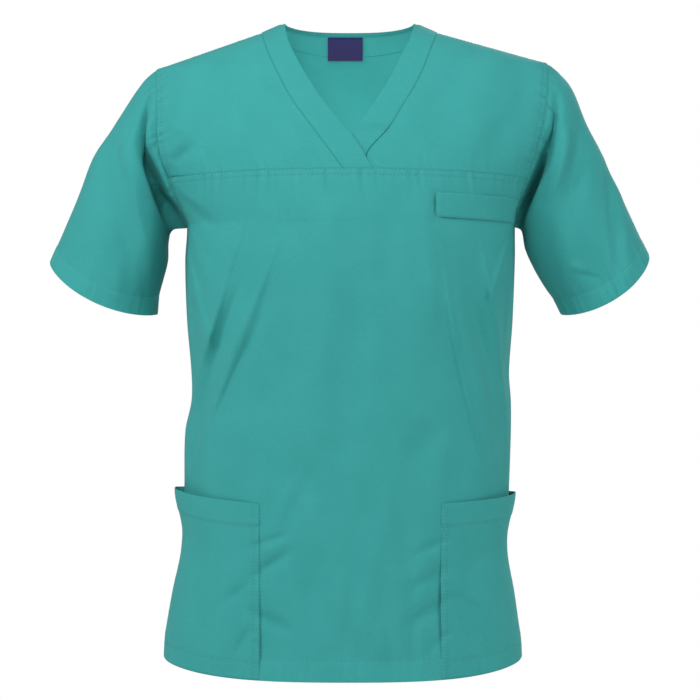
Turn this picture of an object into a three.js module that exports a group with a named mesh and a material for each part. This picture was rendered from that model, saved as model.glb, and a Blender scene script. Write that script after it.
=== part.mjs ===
// A V-neck scrub top, worn shape with nobody in it: front yokes, front body, back, two short sleeves,
// a crossed neck band, a chest pocket welt, two patch pockets and a neck label.
// Millimetres, +Z up, the front faces -Y. Right and left are the wearer's, so right is -X.
// The origin is between the shoulders, above the side seams, half way up the shoulder seams.

import * as THREE from 'three';

// Cloth and seams
const WALL = 1.6;
const SEAM_GAP = 0.3;
const SLEEVE_GAP = 0.4;
const POCKET_WALL = 1.4;
const WELT_WALL = 2.0;
const LABEL_WALL = 1.0;
const CLOTH = { colour: 0x3ca09a, roughness: 0.85 };
const LABEL_CLOTH = { colour: 0x2b2d5e, roughness: 0.7 };

// Side view of the torso: depth of the front and of the back on the centre line at each height
const DEPTHS = [
  { z: -707, front: 137, back: 142 },
  { z: -600, front: 133, back: 134 },
  { z: -480, front: 130, back: 124 },
  { z: -380, front: 129, back: 120 },
  { z: -280, front: 132, back: 124 },
  { z: -207, front: 130, back: 126 },
  { z: -150, front: 120, back: 121 },
  { z: -100, front: 104, back: 110 },
  { z: -62, front: 86, back: 97 },
  { z: -35, front: 71, back: 87 },
  { z: 0, front: 46, back: 74 },
  { z: 28, front: 20, back: 62 },
];

// Front view of the torso: half width on each side at each height, side seams and then armhole seams
const WIDTHS = [
  { z: -707, right: 209, left: 194 },
  { z: -671, right: 207, left: 191.5 },
  { z: -624, right: 199.5, left: 185.5 },
  { z: -573, right: 189, left: 177 },
  { z: -505, right: 187, left: 180.5 },
  { z: -440, right: 186, left: 183 },
  { z: -405, right: 179, left: 183 },
  { z: -373, right: 179, left: 181 },
  { z: -313, right: 184, left: 185 },
  { z: -247, right: 186, left: 187 },
  { z: -207, right: 184, left: 187 },
  { z: -190, right: 189, left: 188 },
  { z: -162, right: 200, left: 196 },
  { z: -138, right: 209, left: 204 },
  { z: -110, right: 214, left: 212 },
  { z: -75, right: 215, left: 220 },
  { z: -23, right: 220, left: 225 },
];

// Armholes and shoulder lines
const ARMHOLES = {
  right: { sign: -1, top: -30, foot: -207, front: 62, back: 68 },
  left: { sign: 1, top: -23, foot: -206, front: 62, back: 68 },
};
const SEAM_FORWARD = 10;
const BAND_FOOT = { x: 100, y: 12.4, z: 15.5 };
const NECK_POINT = { x: 74, y: 15, z: 27.2 };
const SEAM_DROP = 3;
const RIDGE_DROP = 0.3;
const NECK_INSET = 0.95;
const NECK_DROP = 10;

// Sections of the torso
const SIDE_ROUNDNESS = { low: 2.25, high: 2.45, from: -480 };
const MOST_CUT = 0.9;
const FOLD_FADE = 0.06;
const HEM_LIFT = { height: 11, reach: 60, power: 4 };
const BACK_SHARE = 0.56;
const UNDERARM_ANGLES = [-90, -67, -47];
const COLUMN_CLEAR = 0.12;

// Front yoke seam: height on the centre line and at the armholes
const YOKE = { centre: -150, side: -156 };

// Neck band: the points of its outer edge and of its inner edge, from the shoulder seam down to the yoke seam
const BAND_RIGHT = [
  { t: 0, outerX: -100, outerZ: 12.5, innerX: -74, innerZ: 24.2 },
  { t: 0.15, outerX: -91, outerZ: -14, innerX: -69, innerZ: 1 },
  { t: 0.3, outerX: -81, outerZ: -37, innerX: -59, innerZ: -22 },
  { t: 0.45, outerX: -68, outerZ: -63, innerX: -45, innerZ: -48 },
  { t: 0.6, outerX: -53.5, outerZ: -86, innerX: -30, innerZ: -72 },
  { t: 0.75, outerX: -38, outerZ: -107, innerX: -13, innerZ: -94 },
  { t: 0.88, outerX: -20, outerZ: -132, innerX: 8, innerZ: -120 },
  { t: 1, outerX: -6.7, outerZ: -150, innerX: 25, innerZ: -150 },
];
const BAND_LEFT = [
  { t: 0, outerX: 100, outerZ: 12.5, innerX: 74, innerZ: 24.2 },
  { t: 0.15, outerX: 90, outerZ: -14, innerX: 67, innerZ: 0 },
  { t: 0.3, outerX: 81, outerZ: -38, innerX: 57, innerZ: -21 },
  { t: 0.45, outerX: 69.5, outerZ: -61, innerX: 46, innerZ: -44 },
  { t: 0.6, outerX: 56, outerZ: -83, innerX: 32, innerZ: -68 },
  { t: 0.75, outerX: 43, outerZ: -105, innerX: 17, innerZ: -91 },
  { t: 0.88, outerX: 19.8, outerZ: -133, innerX: 3, innerZ: -114 },
  { t: 1, outerX: 25, outerZ: -150, innerX: 8, innerZ: -150 },
];
const UNDERLAP = { depth: 2.4, start: -97, run: 12 };
const BACK_NECK = { seam: -4.5, edge: 22.7, seamPower: 2.2, edgePower: 3 };

// Sleeves: the outer and inner point of each ring in the front view, and its depth before and behind
const SLEEVE_RIGHT = [
  { t: 0, outerX: -220, outerZ: -30, innerX: -184, innerZ: -207, front: 62, back: 68 },
  { t: 0.1, outerX: -234, outerZ: -43, innerX: -201, innerZ: -210, front: 65, back: 68 },
  { t: 0.28, outerX: -255, outerZ: -75, innerX: -207, innerZ: -224, front: 65, back: 66 },
  { t: 0.5, outerX: -284, outerZ: -121, innerX: -207, innerZ: -246, front: 63, back: 64 },
  { t: 0.72, outerX: -306, outerZ: -169, innerX: -212, innerZ: -268, front: 61, back: 62 },
  { t: 0.88, outerX: -325, outerZ: -213, innerX: -218, innerZ: -289, front: 59, back: 60 },
  { t: 1, outerX: -339.5, outerZ: -247, innerX: -220, innerZ: -307, front: 58, back: 58 },
];
const SLEEVE_LEFT = [
  { t: 0, outerX: 225, outerZ: -23, innerX: 187, innerZ: -206, front: 62, back: 68 },
  { t: 0.1, outerX: 237, outerZ: -33, innerX: 197, innerZ: -211, front: 65, back: 68 },
  { t: 0.28, outerX: 257.5, outerZ: -61, innerX: 202, innerZ: -233, front: 65, back: 66 },
  { t: 0.5, outerX: 277.5, outerZ: -108, innerX: 212, innerZ: -255, front: 64, back: 64 },
  { t: 0.72, outerX: 299, outerZ: -155, innerX: 225, innerZ: -276, front: 63, back: 63 },
  { t: 0.88, outerX: 320, outerZ: -202, innerX: 235, innerZ: -291, front: 62, back: 62 },
  { t: 1, outerX: 339, outerZ: -239, innerX: 243, innerZ: -307, front: 61, back: 61 },
];
const CUFF_DROOP = { front: 18, back: 9, power: 1.5 };
const SLEEVE_EASE = 0.4;

// Largest folds, by their ends in the front view: bow sideways, half width, and height (minus is a trough)
const FRONT_FOLDS = [
  { x0: -94, z0: -292, x1: -182, z1: -500, bow: 8, width: 13, height: 7 },
  { x0: -128, z0: -263, x1: -171, z1: -400, bow: 5, width: 10, height: 6 },
  { x0: -182, z0: -222, x1: -155, z1: -330, bow: -4, width: 8, height: -5 },
  { x0: -112, z0: -330, x1: -176, z1: -450, bow: 4, width: 9, height: -4 },
  { x0: 104, z0: -266, x1: 163, z1: -500, bow: -10, width: 13, height: 7 },
  { x0: 146, z0: -240, x1: 173, z1: -372, bow: -2, width: 9, height: 5 },
  { x0: 128, z0: -280, x1: 158, z1: -420, bow: -4, width: 8, height: -4 },
  { x0: -20, z0: -470, x1: -92, z1: -560, bow: 6, width: 18, height: -4 },
  { x0: -197, z0: -142, x1: -168, z1: -120, bow: 0, width: 8, height: -5 },
];
const BACK_FOLDS = [
  { x0: -120, z0: -240, x1: -170, z1: -470, bow: 8, width: 15, height: 7 },
  { x0: -150, z0: -215, x1: -176, z1: -380, bow: 4, width: 10, height: -5 },
  { x0: 112, z0: -230, x1: 168, z1: -500, bow: -9, width: 15, height: 7 },
  { x0: 150, z0: -220, x1: 174, z1: -360, bow: -4, width: 10, height: -5 },
  { x0: 20, z0: -470, x1: -40, z1: -640, bow: 8, width: 20, height: 5 },
  { x0: -60, z0: -560, x1: -84, z1: -690, bow: 3, width: 16, height: -5 },
  { x0: 70, z0: -540, x1: 96, z1: -690, bow: 3, width: 16, height: -5 },
];

// Pockets and label
const WELT = { inner: 94, top: -175.5, slope: -3, depth: 28, outer: 0.5, lift: 0.25 };
const PATCHES = {
  right: { side: 'right', inner: 97, top: -515, topOuter: -503, gape: 9 },
  left: { side: 'left', inner: 99, top: -515, topOuter: -508, gape: 6 },
};
const PATCH = {
  outer: 0.06,
  foot: 1.5,
  lift: 0.1,
  panelRows: 5,
  bandRows: 3,
  bandDepth: 25,
  bandStep: 0.6,
  bandExtra: 0.8,
  gapeDepth: 62,
  gapeStart: 0.1,
  lastRowDepth: 37.5,
};
const LABEL = { centre: -5, width: 41, top: 17.6, height: 25.8, lift: 0.3 };

// Grid steps
const STEPS = {
  frontSide: 12,
  frontMiddle: 2,
  frontLower: 18,
  yoke: 7,
  backNeck: 8,
  backLower: 14,
  backArm: 9,
  sleeve: 9,
  bandAcross: 2,
  labelDown: 2,
};

const { lerp, clamp, smoothstep } = THREE.MathUtils;
const HALF_PI = Math.PI / 2;

// Search for a place on a panel: how far below the first row it may lie, and when it is near enough
const SEARCH = { below: -0.5, step: 1e-4 };
const KEYS_PER_MM = 100;

// Value of a table's column at one place along its key column, on a smooth curve through the rows.
function read(table, key, column, place) {
  const rows = [...table].sort((a, b) => a[key] - b[key]);
  const last = rows.length - 1;
  const at = clamp(place, rows[0][key], rows[last][key]);
  const next = clamp(rows.findIndex((row) => row[key] >= at), 1, last);
  const slope = (i) => {
    const low = rows[Math.max(i - 1, 0)];
    const high = rows[Math.min(i + 1, last)];
    return (high[column] - low[column]) / (high[key] - low[key]);
  };
  const a = rows[next - 1];
  const b = rows[next];
  const span = b[key] - a[key];
  const f = (at - a[key]) / span;
  const rise = (1 - f) * (1 - f) * f * span * slope(next - 1) + f * f * (f - 1) * span * slope(next);
  return lerp(a[column], b[column], f * f * (3 - 2 * f)) + rise;
}

// Point of an armhole seam: -90 degrees is the underarm, 0 the front, 90 the shoulder, 180 the back.
function armholePoint(hole, degrees) {
  const angle = THREE.MathUtils.degToRad(degrees);
  const half = (hole.top - hole.foot) / 2;
  const z = (hole.top + hole.foot) / 2 + half * Math.sin(angle);
  const depth = Math.cos(angle) > 0 ? hole.front : hole.back;
  const side = hole.sign < 0 ? 'right' : 'left';
  return new THREE.Vector3(hole.sign * read(WIDTHS, 'z', side, z), -depth * Math.cos(angle), z);
}

// Angle of the armhole, on its front, where the shoulder seam ends.
function seamAngle(hole) {
  return 180 - THREE.MathUtils.radToDeg(Math.acos(-SEAM_FORWARD / hole.front));
}

// Angle of the armhole, on its front, at one height.
function frontAngle(hole, z) {
  const half = (hole.top - hole.foot) / 2;
  return THREE.MathUtils.radToDeg(Math.asin(clamp((z - hole.foot - half) / half, -1, 1)));
}

// The three points that a shoulder seam, or the ridge behind it, runs through.
function shoulderLine(hole, isSeam) {
  const forward = isSeam ? SEAM_FORWARD : 0;
  const drop = isSeam ? SEAM_DROP : 0;
  const tip = armholePoint(hole, isSeam ? seamAngle(hole) : 90);
  const point = (p) => new THREE.Vector3(hole.sign * p.x, p.y - forward, p.z - drop);
  return [tip, point(BAND_FOOT), point(NECK_POINT)];
}

// Point of such a line at one height.
function onShoulder(hole, isSeam, z) {
  const [tip, foot, neck] = shoulderLine(hole, isSeam);
  const low = z < foot.z ? tip : foot;
  const high = z < foot.z ? foot : neck;
  return low.clone().lerp(high, clamp((z - low.z) / (high.z - low.z), 0, 1));
}

// Edge point of the front (isFront) or the back at one height: side seam, armhole or shoulder.
function edgePoint(hole, isFront, z) {
  const side = hole.sign < 0 ? 'right' : 'left';
  if (z <= hole.foot) return new THREE.Vector3(hole.sign * read(WIDTHS, 'z', side, z), 0, z);
  const tip = shoulderLine(hole, isFront)[0];
  if (z >= tip.z) return onShoulder(hole, isFront, z);
  const angle = frontAngle(hole, z);
  return armholePoint(hole, isFront ? angle : 180 - angle);
}

// Height of the folds over the plain cloth at a point of the front view.
function foldHeight(folds, x, z) {
  let height = 0;
  for (const fold of folds) {
    const alongX = fold.x1 - fold.x0;
    const alongZ = fold.z1 - fold.z0;
    const length = Math.hypot(alongX, alongZ);
    const t = ((x - fold.x0) * alongX + (z - fold.z0) * alongZ) / (length * length);
    if (t > 0 && t < 1) {
      const bow = fold.bow * Math.sin(Math.PI * t);
      const across = ((x - fold.x0) * alongZ - (z - fold.z0) * alongX) / length - bow;
      height += fold.height * Math.sin(Math.PI * t) * Math.exp(-((across / fold.width) ** 2));
    }
  }
  return height;
}

// Depth of the torso's front or back over a point of the front view: a rounded section through the edge.
function torsoY(isFront, x, z) {
  const hole = x < 0 ? ARMHOLES.right : ARMHOLES.left;
  const edge = edgePoint(hole, isFront, z);
  const sign = isFront ? -1 : 1;
  const tip = shoulderLine(hole, isFront)[0];
  const base = z > tip.z ? edge.y - tip.y : 0;
  const deep = sign * read(DEPTHS, 'z', isFront ? 'front' : 'back', z) - base;
  const power = lerp(SIDE_ROUNDNESS.low, SIDE_ROUNDNESS.high, smoothstep(z, SIDE_ROUNDNESS.from, hole.foot));
  const cut = (1 - clamp((edge.y - base) / deep, 0, MOST_CUT) ** power) ** (1 / power);
  const q = Math.min(1, (cut * Math.abs(x)) / Math.abs(edge.x));
  const round = (1 - q ** power) ** (1 / power);
  const fade = smoothstep(1 - Math.abs(x / edge.x), 0, FOLD_FADE);
  const folds = isFront ? FRONT_FOLDS : BACK_FOLDS;
  return base + deep * round + sign * fade * foldHeight(folds, x, z);
}

// Point of the torso at a place across (-1 is the right edge, 1 the left) and a height.
function torsoPoint(isFront, across, z) {
  const hole = across < 0 ? ARMHOLES.right : ARMHOLES.left;
  const edge = edgePoint(hole, isFront, z);
  const q = Math.sin(HALF_PI * Math.abs(across));
  const x = edge.x * q;
  const low = DEPTHS[0].z;
  const near = smoothstep(low + HEM_LIFT.reach - z, 0, HEM_LIFT.reach);
  const lift = HEM_LIFT.height * q ** HEM_LIFT.power * near;
  return new THREE.Vector3(x, torsoY(isFront, x, z), z + lift);
}

// Grid between four edges of the front view, each a list of points; grid[row][column].
function fillGrid(foot, top, right, left) {
  const width = foot.at(-1).x - foot[0].x;
  const height = right.at(-1).z - right[0].z;
  return right.map((start, k) => {
    const t = (start.z - right[0].z) / height;
    return foot.map((low, j) => {
      const s = (low.x - foot[0].x) / width;
      const blend = (a, b, c, d, e, f, g, h) =>
        lerp(a, b, t) + lerp(c, d, s) - lerp(lerp(e, f, s), lerp(g, h, s), t);
      const mix = (axis) =>
        blend(
          low[axis], top[j][axis], start[axis], left[k][axis],
          foot[0][axis], foot.at(-1)[axis], top[0][axis], top.at(-1)[axis],
        );
      return new THREE.Vector3(mix('x'), 0, mix('z'));
    });
  });
}

// The grid's inner points laid on the torso; its edges keep the points given.
function layOnTorso(isFront, grid, foot, top, right, left) {
  const lastRow = grid.length - 1;
  return grid.map((row, k) =>
    row.map((p, j) => {
      if (k === 0) return foot[j].clone();
      if (k === lastRow) return top[j].clone();
      if (j === 0) return right[k].clone();
      if (j === row.length - 1) return left[k].clone();
      return new THREE.Vector3(p.x, torsoY(isFront, p.x, p.z), p.z);
    }),
  );
}

// Points of a list of numbers from one end to the other.
function range(from, to, steps) {
  return Array.from({ length: steps + 1 }, (_, i) => lerp(from, to, i / steps));
}

// Angles of the armhole's back, from the underarm to the shoulder.
const backAngles = [270, ...range(180 - UNDERARM_ANGLES[1], 90, STEPS.backArm)];

// Places across the torso of the front's columns, and how far each lies from the armhole to the neck.
const frontAcross = range(-1, 1, 2 * STEPS.frontSide + STEPS.frontMiddle);
const shoulderShares = spread(frontAcross, 0, STEPS.frontSide, 0, 1);

// Places across the torso of the back's columns: the shoulders' and then the neck's.
const backSide = shoulderShares.map((share) => Math.asin(lerp(1, BACK_SHARE, share)) / HALF_PI);
const backAcross = [
  ...backSide.map((across) => -across),
  ...range(-backSide.at(-1), backSide.at(-1), STEPS.backNeck + 2).slice(1, -1),
  ...backSide.toReversed(),
];

// A row of places spread between two ends as the torso's columns are.
function spread(across, from, to, startX, endX) {
  const x = (i) => Math.sin(HALF_PI * across[i]);
  const share = (i) => (x(i) - x(from)) / (x(to) - x(from));
  return across.slice(from, to + 1).map((_, i) => lerp(startX, endX, share(from + i)));
}

// Height of the yoke seam at a place in the front view.
function yokeHeight(x) {
  const edge = edgePoint(x < 0 ? ARMHOLES.right : ARMHOLES.left, true, YOKE.side);
  return lerp(YOKE.centre, YOKE.side, Math.min(1, x / edge.x) ** 2);
}

// Points of the yoke seam, armhole to armhole, at the front's columns.
function yokeSeam() {
  const first = STEPS.frontSide;
  const second = first + STEPS.frontMiddle;
  const last = frontAcross.length - 1;
  const rightEnd = edgePoint(ARMHOLES.right, true, YOKE.side);
  const leftEnd = edgePoint(ARMHOLES.left, true, YOKE.side);
  const rightBand = BAND_RIGHT.at(-1);
  const places = [
    ...spread(frontAcross, 0, first, rightEnd.x, rightBand.outerX),
    ...spread(frontAcross, first, second, rightBand.outerX, rightBand.innerX).slice(1),
    ...spread(frontAcross, second, last, rightBand.innerX, leftEnd.x).slice(1),
  ];
  return places.map((x, j) => {
    if (j === 0) return rightEnd;
    if (j === last) return leftEnd;
    return new THREE.Vector3(x, torsoY(true, x, yokeHeight(x)), yokeHeight(x));
  });
}

// Points of an armhole between two angles.
function armholeStretch(hole, from, to, steps) {
  return range(from, to, steps).map((degrees) => armholePoint(hole, degrees));
}

// Grid of the front body, hem to yoke seam.
function frontBodyGrid() {
  const lower = range(DEPTHS[0].z, ARMHOLES.right.foot, STEPS.frontLower).map((z) =>
    frontAcross.map((across) => torsoPoint(true, across, z)),
  );
  lower.at(-1)[frontAcross.length - 1] = armholePoint(ARMHOLES.left, -90);
  const foot = lower.at(-1);
  const top = yokeSeam();
  const edge = (hole) =>
    [...UNDERARM_ANGLES, frontAngle(hole, YOKE.side)].map((degrees) => armholePoint(hole, degrees));
  const right = edge(ARMHOLES.right);
  const left = edge(ARMHOLES.left);
  const upper = layOnTorso(true, fillGrid(foot, top, right, left), foot, top, right, left);
  return [...lower, ...upper.slice(1)];
}

// Points of a neck band's edge in the front, from the yoke seam up to the shoulder seam.
function bandEdge(table, edge) {
  return range(1, 0, STEPS.yoke).map((t, k) => {
    const x = read(table, 't', `${edge}X`, t);
    const z = k === 0 ? yokeHeight(x) : read(table, 't', `${edge}Z`, t);
    if (k < STEPS.yoke) return new THREE.Vector3(x, torsoY(true, x, z), z);
    const line = shoulderLine(x < 0 ? ARMHOLES.right : ARMHOLES.left, true);
    return edge === 'outer' ? line[1] : line[2];
  });
}

// Grid of a front yoke: columns run from the garment's right to its left.
function yokeGrid(hole, table) {
  const seam = yokeSeam();
  const isRight = hole.sign < 0;
  const cut = isRight ? STEPS.frontSide : STEPS.frontSide + STEPS.frontMiddle;
  const foot = isRight ? seam.slice(0, cut + 1) : seam.slice(cut);
  const arm = armholeStretch(hole, frontAngle(hole, YOKE.side), seamAngle(hole), STEPS.yoke);
  const neck = bandEdge(table, 'outer');
  const [right, left] = isRight ? [arm, neck] : [neck, arm];
  const tip = right.at(-1);
  const end = left.at(-1);
  const shares = isRight ? shoulderShares : shoulderShares.map((share) => 1 - share).reverse();
  const top = shares.map((share) => tip.clone().lerp(end, share));
  return layOnTorso(true, fillGrid(foot, top, right, left), foot, top, right, left);
}

// Points of the back's neck seam or top edge between the shoulder ridges, garment's right to left.
function backNeckPoints(isSeam) {
  const side = isSeam ? BAND_FOOT : NECK_POINT;
  const centre = isSeam ? BACK_NECK.seam : BACK_NECK.edge;
  const power = isSeam ? BACK_NECK.seamPower : BACK_NECK.edgePower;
  return range(-1, 1, STEPS.backNeck).map((s, j) => {
    const x = side.x * Math.sin(HALF_PI * s);
    if (j === 0 || j === STEPS.backNeck) return new THREE.Vector3(Math.sign(s) * side.x, side.y, side.z);
    const z = lerp(centre, side.z, Math.abs(x / side.x) ** power);
    return new THREE.Vector3(x, torsoY(false, x, z), z);
  });
}

// Grid of the back panel, hem to shoulder seams and neck seam.
function backGrid() {
  const last = backAcross.length - 1;
  const lower = range(DEPTHS[0].z, ARMHOLES.right.foot, STEPS.backLower).map((z) =>
    backAcross.map((across) => torsoPoint(false, across, z)),
  );
  lower.at(-1)[last] = armholePoint(ARMHOLES.left, -90);
  const foot = lower.at(-1);
  const neck = backNeckPoints(true);
  const shoulder = (hole, isSeam) => {
    const [tip, end] = shoulderLine(hole, isSeam);
    return shoulderShares.map((share) => tip.clone().lerp(end, share));
  };
  const seam = [
    ...shoulder(ARMHOLES.right, true),
    ...neck,
    ...shoulder(ARMHOLES.left, true).reverse(),
  ];
  const below = (p, drop) => new THREE.Vector3(p.x, torsoY(false, p.x, p.z - drop), p.z - drop);
  const ridge = [
    ...shoulder(ARMHOLES.right, false).map((p, j) => (j === 0 ? p : below(p, RIDGE_DROP * j))),
    ...neck.map((p) => below(new THREE.Vector3(p.x * NECK_INSET, 0, p.z), NECK_DROP)),
    ...shoulder(ARMHOLES.left, false).map((p, j) => (j === 0 ? p : below(p, RIDGE_DROP * j))).reverse(),
  ];
  const edge = (hole) => backAngles.map((degrees) => armholePoint(hole, degrees));
  const right = edge(ARMHOLES.right);
  const left = edge(ARMHOLES.left);
  const upper = layOnTorso(false, fillGrid(foot, ridge, right, left), foot, ridge, right, left);
  return [...lower, ...upper.slice(1), seam];
}

// Angles of the armhole seam where the panels' rows meet it.
function armholeAngles(hole) {
  const yoke = frontAngle(hole, YOKE.side);
  const seam = seamAngle(hole);
  return [
    ...UNDERARM_ANGLES,
    yoke,
    ...range(yoke, seam, STEPS.yoke).slice(1),
    ...backAngles.slice(1).reverse(),
  ];
}

// Grid of a sleeve: rows run along it, columns round it from the underarm over the front.
function sleeveGrid(hole, table) {
  const ring = (t, degrees) => {
    const angle = THREE.MathUtils.degToRad(degrees);
    const value = (column) => read(table, 't', column, t);
    const outer = new THREE.Vector3(value('outerX'), 0, value('outerZ'));
    const inner = new THREE.Vector3(value('innerX'), 0, value('innerZ'));
    const depth = Math.cos(angle) > 0 ? value('front') : value('back');
    const reach = Math.cos(angle) > 0 ? CUFF_DROOP.front : CUFF_DROOP.back;
    const droop = reach * Math.abs(Math.cos(angle)) ** CUFF_DROOP.power;
    const along = outer.clone().sub(inner).normalize().cross(new THREE.Vector3(0, -hole.sign, 0));
    return inner.lerp(outer, (1 + Math.sin(angle)) / 2)
      .add(new THREE.Vector3(0, -depth * Math.cos(angle), 0))
      .addScaledVector(along, droop * t * t);
  };
  const angles = armholeAngles(hole);
  return range(0, 1, STEPS.sleeve).map((t) =>
    angles.map((degrees) => {
      const fit = armholePoint(hole, degrees).sub(ring(0, degrees));
      return ring(t, degrees).addScaledVector(fit, 1 - smoothstep(t, 0, SLEEVE_EASE));
    }),
  );
}

// Grid of a front neck band, columns from its right edge to its left.
function frontBandGrid(table, isUnder) {
  const outer = bandEdge(table, 'outer');
  const inner = bandEdge(table, 'inner');
  const isRight = outer[0].x < 0;
  return outer.map((edge, k) =>
    range(0, 1, STEPS.bandAcross).map((s) => {
      const share = isRight ? s : 1 - s;
      const p = edge.clone().lerp(inner[k], share);
      if (k > 0 && k < STEPS.yoke && share > 0) p.y = torsoY(true, p.x, p.z);
      if (isUnder) p.y += UNDERLAP.depth * smoothstep(UNDERLAP.start - p.z, 0, UNDERLAP.run);
      return p;
    }),
  );
}

// Grid of the back neck band, shoulder seam to shoulder seam.
function backBandGrid() {
  const seam = [
    shoulderLine(ARMHOLES.right, true)[1],
    ...backNeckPoints(true),
    shoulderLine(ARMHOLES.left, true)[1],
  ];
  const edge = [
    shoulderLine(ARMHOLES.right, true)[2],
    ...backNeckPoints(false),
    shoulderLine(ARMHOLES.left, true)[2],
  ];
  const last = seam.length - 1;
  return range(0, 1, STEPS.bandAcross).map((s) =>
    seam.map((low, j) => {
      const p = low.clone().lerp(edge[j], s);
      if (s > 0 && s < 1 && j > 1 && j < last - 1) p.y = torsoY(false, p.x, p.z);
      return p;
    }),
  );
}

// Text key of a point, so that points shared at seams are found again.
function pointKey(p) {
  return [p.x, p.y, p.z].map((value) => Math.round(value * KEYS_PER_MM)).join(' ');
}

// Adds the directions that a grid's faces look in to the sums kept for its points.
function addNormals(sums, grid, isRing, isFlipped) {
  const columns = grid[0].length;
  const steps = isRing ? columns : columns - 1;
  for (let k = 0; k < grid.length - 1; k += 1) {
    for (let j = 0; j < steps; j += 1) {
      const next = (j + 1) % columns;
      const corners = [grid[k][j], grid[k][next], grid[k + 1][next], grid[k + 1][j]];
      const rise = corners[2].clone().sub(corners[0]);
      const fall = corners[3].clone().sub(corners[1]);
      const normal = rise.cross(fall).normalize().multiplyScalar(isFlipped ? -1 : 1);
      for (const corner of corners) {
        const key = pointKey(corner);
        if (!sums.has(key)) sums.set(key, new THREE.Vector3());
        sums.get(key).add(normal);
      }
    }
  }
}

// Grid with its four edges drawn back from the seams by half the gap.
function drawBack(grid, isRing) {
  const half = isRing ? SLEEVE_GAP / 2 : SEAM_GAP / 2;
  const lastRow = grid.length - 1;
  const lastColumn = grid[0].length - 1;
  return grid.map((row, k) =>
    row.map((p, j) => {
      const moved = p.clone();
      const pull = (towards) => {
        moved.addScaledVector(towards.clone().sub(p).normalize(), half);
      };
      if (k === 0) pull(grid[1][j]);
      if (k === lastRow) pull(grid[lastRow - 1][j]);
      if (!isRing && j === 0) pull(row[1]);
      if (!isRing && j === lastColumn) pull(row[lastColumn - 1]);
      return moved;
    }),
  );
}

// Closed body between an outer and an inner grid of points.
function closedBody(outer, inner, isRing, isFlipped) {
  const rows = outer.length;
  const columns = outer[0].length;
  const points = [...outer.flat(), ...inner.flat()];
  const index = [];
  const at = (layer, k, j) => layer * rows * columns + k * columns + (j % columns);
  const quad = (a, b, c, d, turned) => {
    const order = turned !== isFlipped ? [a, c, b, a, d, c] : [a, b, c, a, c, d];
    index.push(...order);
  };
  const rim = (a, b, c, d, turned) => {
    const isShort = points[a].distanceTo(points[c]) <= points[b].distanceTo(points[d]);
    if (isShort) quad(a, b, c, d, turned);
    else quad(b, c, d, a, turned);
  };
  const steps = isRing ? columns : columns - 1;
  for (let k = 0; k < rows - 1; k += 1) {
    for (let j = 0; j < steps; j += 1) {
      quad(at(0, k, j), at(0, k, j + 1), at(0, k + 1, j + 1), at(0, k + 1, j), false);
      quad(at(1, k, j), at(1, k, j + 1), at(1, k + 1, j + 1), at(1, k + 1, j), true);
    }
    if (!isRing) {
      rim(at(0, k, 0), at(1, k, 0), at(1, k + 1, 0), at(0, k + 1, 0), true);
      const end = columns - 1;
      rim(at(0, k, end), at(1, k, end), at(1, k + 1, end), at(0, k + 1, end), false);
    }
  }
  for (let j = 0; j < steps; j += 1) {
    rim(at(0, 0, j), at(0, 0, j + 1), at(1, 0, j + 1), at(1, 0, j), true);
    const end = rows - 1;
    rim(at(0, end, j), at(0, end, j + 1), at(1, end, j + 1), at(1, end, j), false);
  }
  const geometry = new THREE.BufferGeometry();
  const values = points.flatMap((p) => [p.x, p.y, p.z]);
  geometry.setAttribute('position', new THREE.Float32BufferAttribute(values, 3));
  geometry.setIndex(index);
  geometry.computeVertexNormals();
  return geometry;
}

// A named mesh of cloth.
function clothMesh(name, geometry, { colour, roughness } = CLOTH) {
  const material = new THREE.MeshStandardMaterial({ color: colour, roughness, metalness: 0 });
  const mesh = new THREE.Mesh(geometry, material);
  mesh.name = name;
  return mesh;
}

// The sewn panels, which share their seams' points and so their walls' directions there.
function sewnPanels() {
  const panels = [
    { name: 'front_body', grid: frontBodyGrid() },
    { name: 'front_yoke_right', grid: yokeGrid(ARMHOLES.right, BAND_RIGHT) },
    { name: 'front_yoke_left', grid: yokeGrid(ARMHOLES.left, BAND_LEFT) },
    { name: 'back_panel', grid: backGrid(), isFlipped: true },
    { name: 'sleeve_right', grid: sleeveGrid(ARMHOLES.right, SLEEVE_RIGHT), isRing: true },
    { name: 'sleeve_left', grid: sleeveGrid(ARMHOLES.left, SLEEVE_LEFT), isRing: true, isFlipped: true },
    { name: 'neck_band_right', grid: frontBandGrid(BAND_RIGHT, false) },
    { name: 'neck_band_left', grid: frontBandGrid(BAND_LEFT, true) },
    { name: 'neck_band_back', grid: backBandGrid(), isFlipped: true },
  ];
  const sums = new Map();
  for (const { grid, isRing = false, isFlipped = false } of panels) {
    addNormals(sums, grid, isRing, isFlipped);
  }
  return panels.map(({ name, grid, isRing = false, isFlipped = false }) => {
    const middle = drawBack(grid, isRing);
    const normals = grid.map((row) => row.map((p) => sums.get(pointKey(p)).clone().normalize()));
    const shift = (distance) =>
      middle.map((row, k) => row.map((p, j) => p.clone().addScaledVector(normals[k][j], distance)));
    const geometry = closedBody(shift(WALL / 2), shift(-WALL / 2), isRing, isFlipped);
    return { middle, normals, mesh: clothMesh(name, geometry) };
  });
}

// Point of a panel's faces at a fractional column and row, moved out of the cloth by a distance.
function onPanel(panel, column, row, distance) {
  const { middle, normals } = panel;
  const k = clamp(Math.floor(row), 0, middle.length - 2);
  const j = clamp(Math.floor(column), 0, middle[0].length - 2);
  const u = column - j;
  const v = row - k;
  const corner = (dk, dj) =>
    middle[k + dk][j + dj].clone().addScaledVector(normals[k + dk][j + dj], distance);
  const [a, b, c, d] = [corner(0, 0), corner(0, 1), corner(1, 1), corner(1, 0)];
  const isLower = v <= u;
  const along = isLower ? b.clone().sub(a) : c.clone().sub(d);
  const rise = isLower ? c.clone().sub(b) : d.clone().sub(a);
  return a.addScaledVector(along, u).addScaledVector(rise, v);
}

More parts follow.
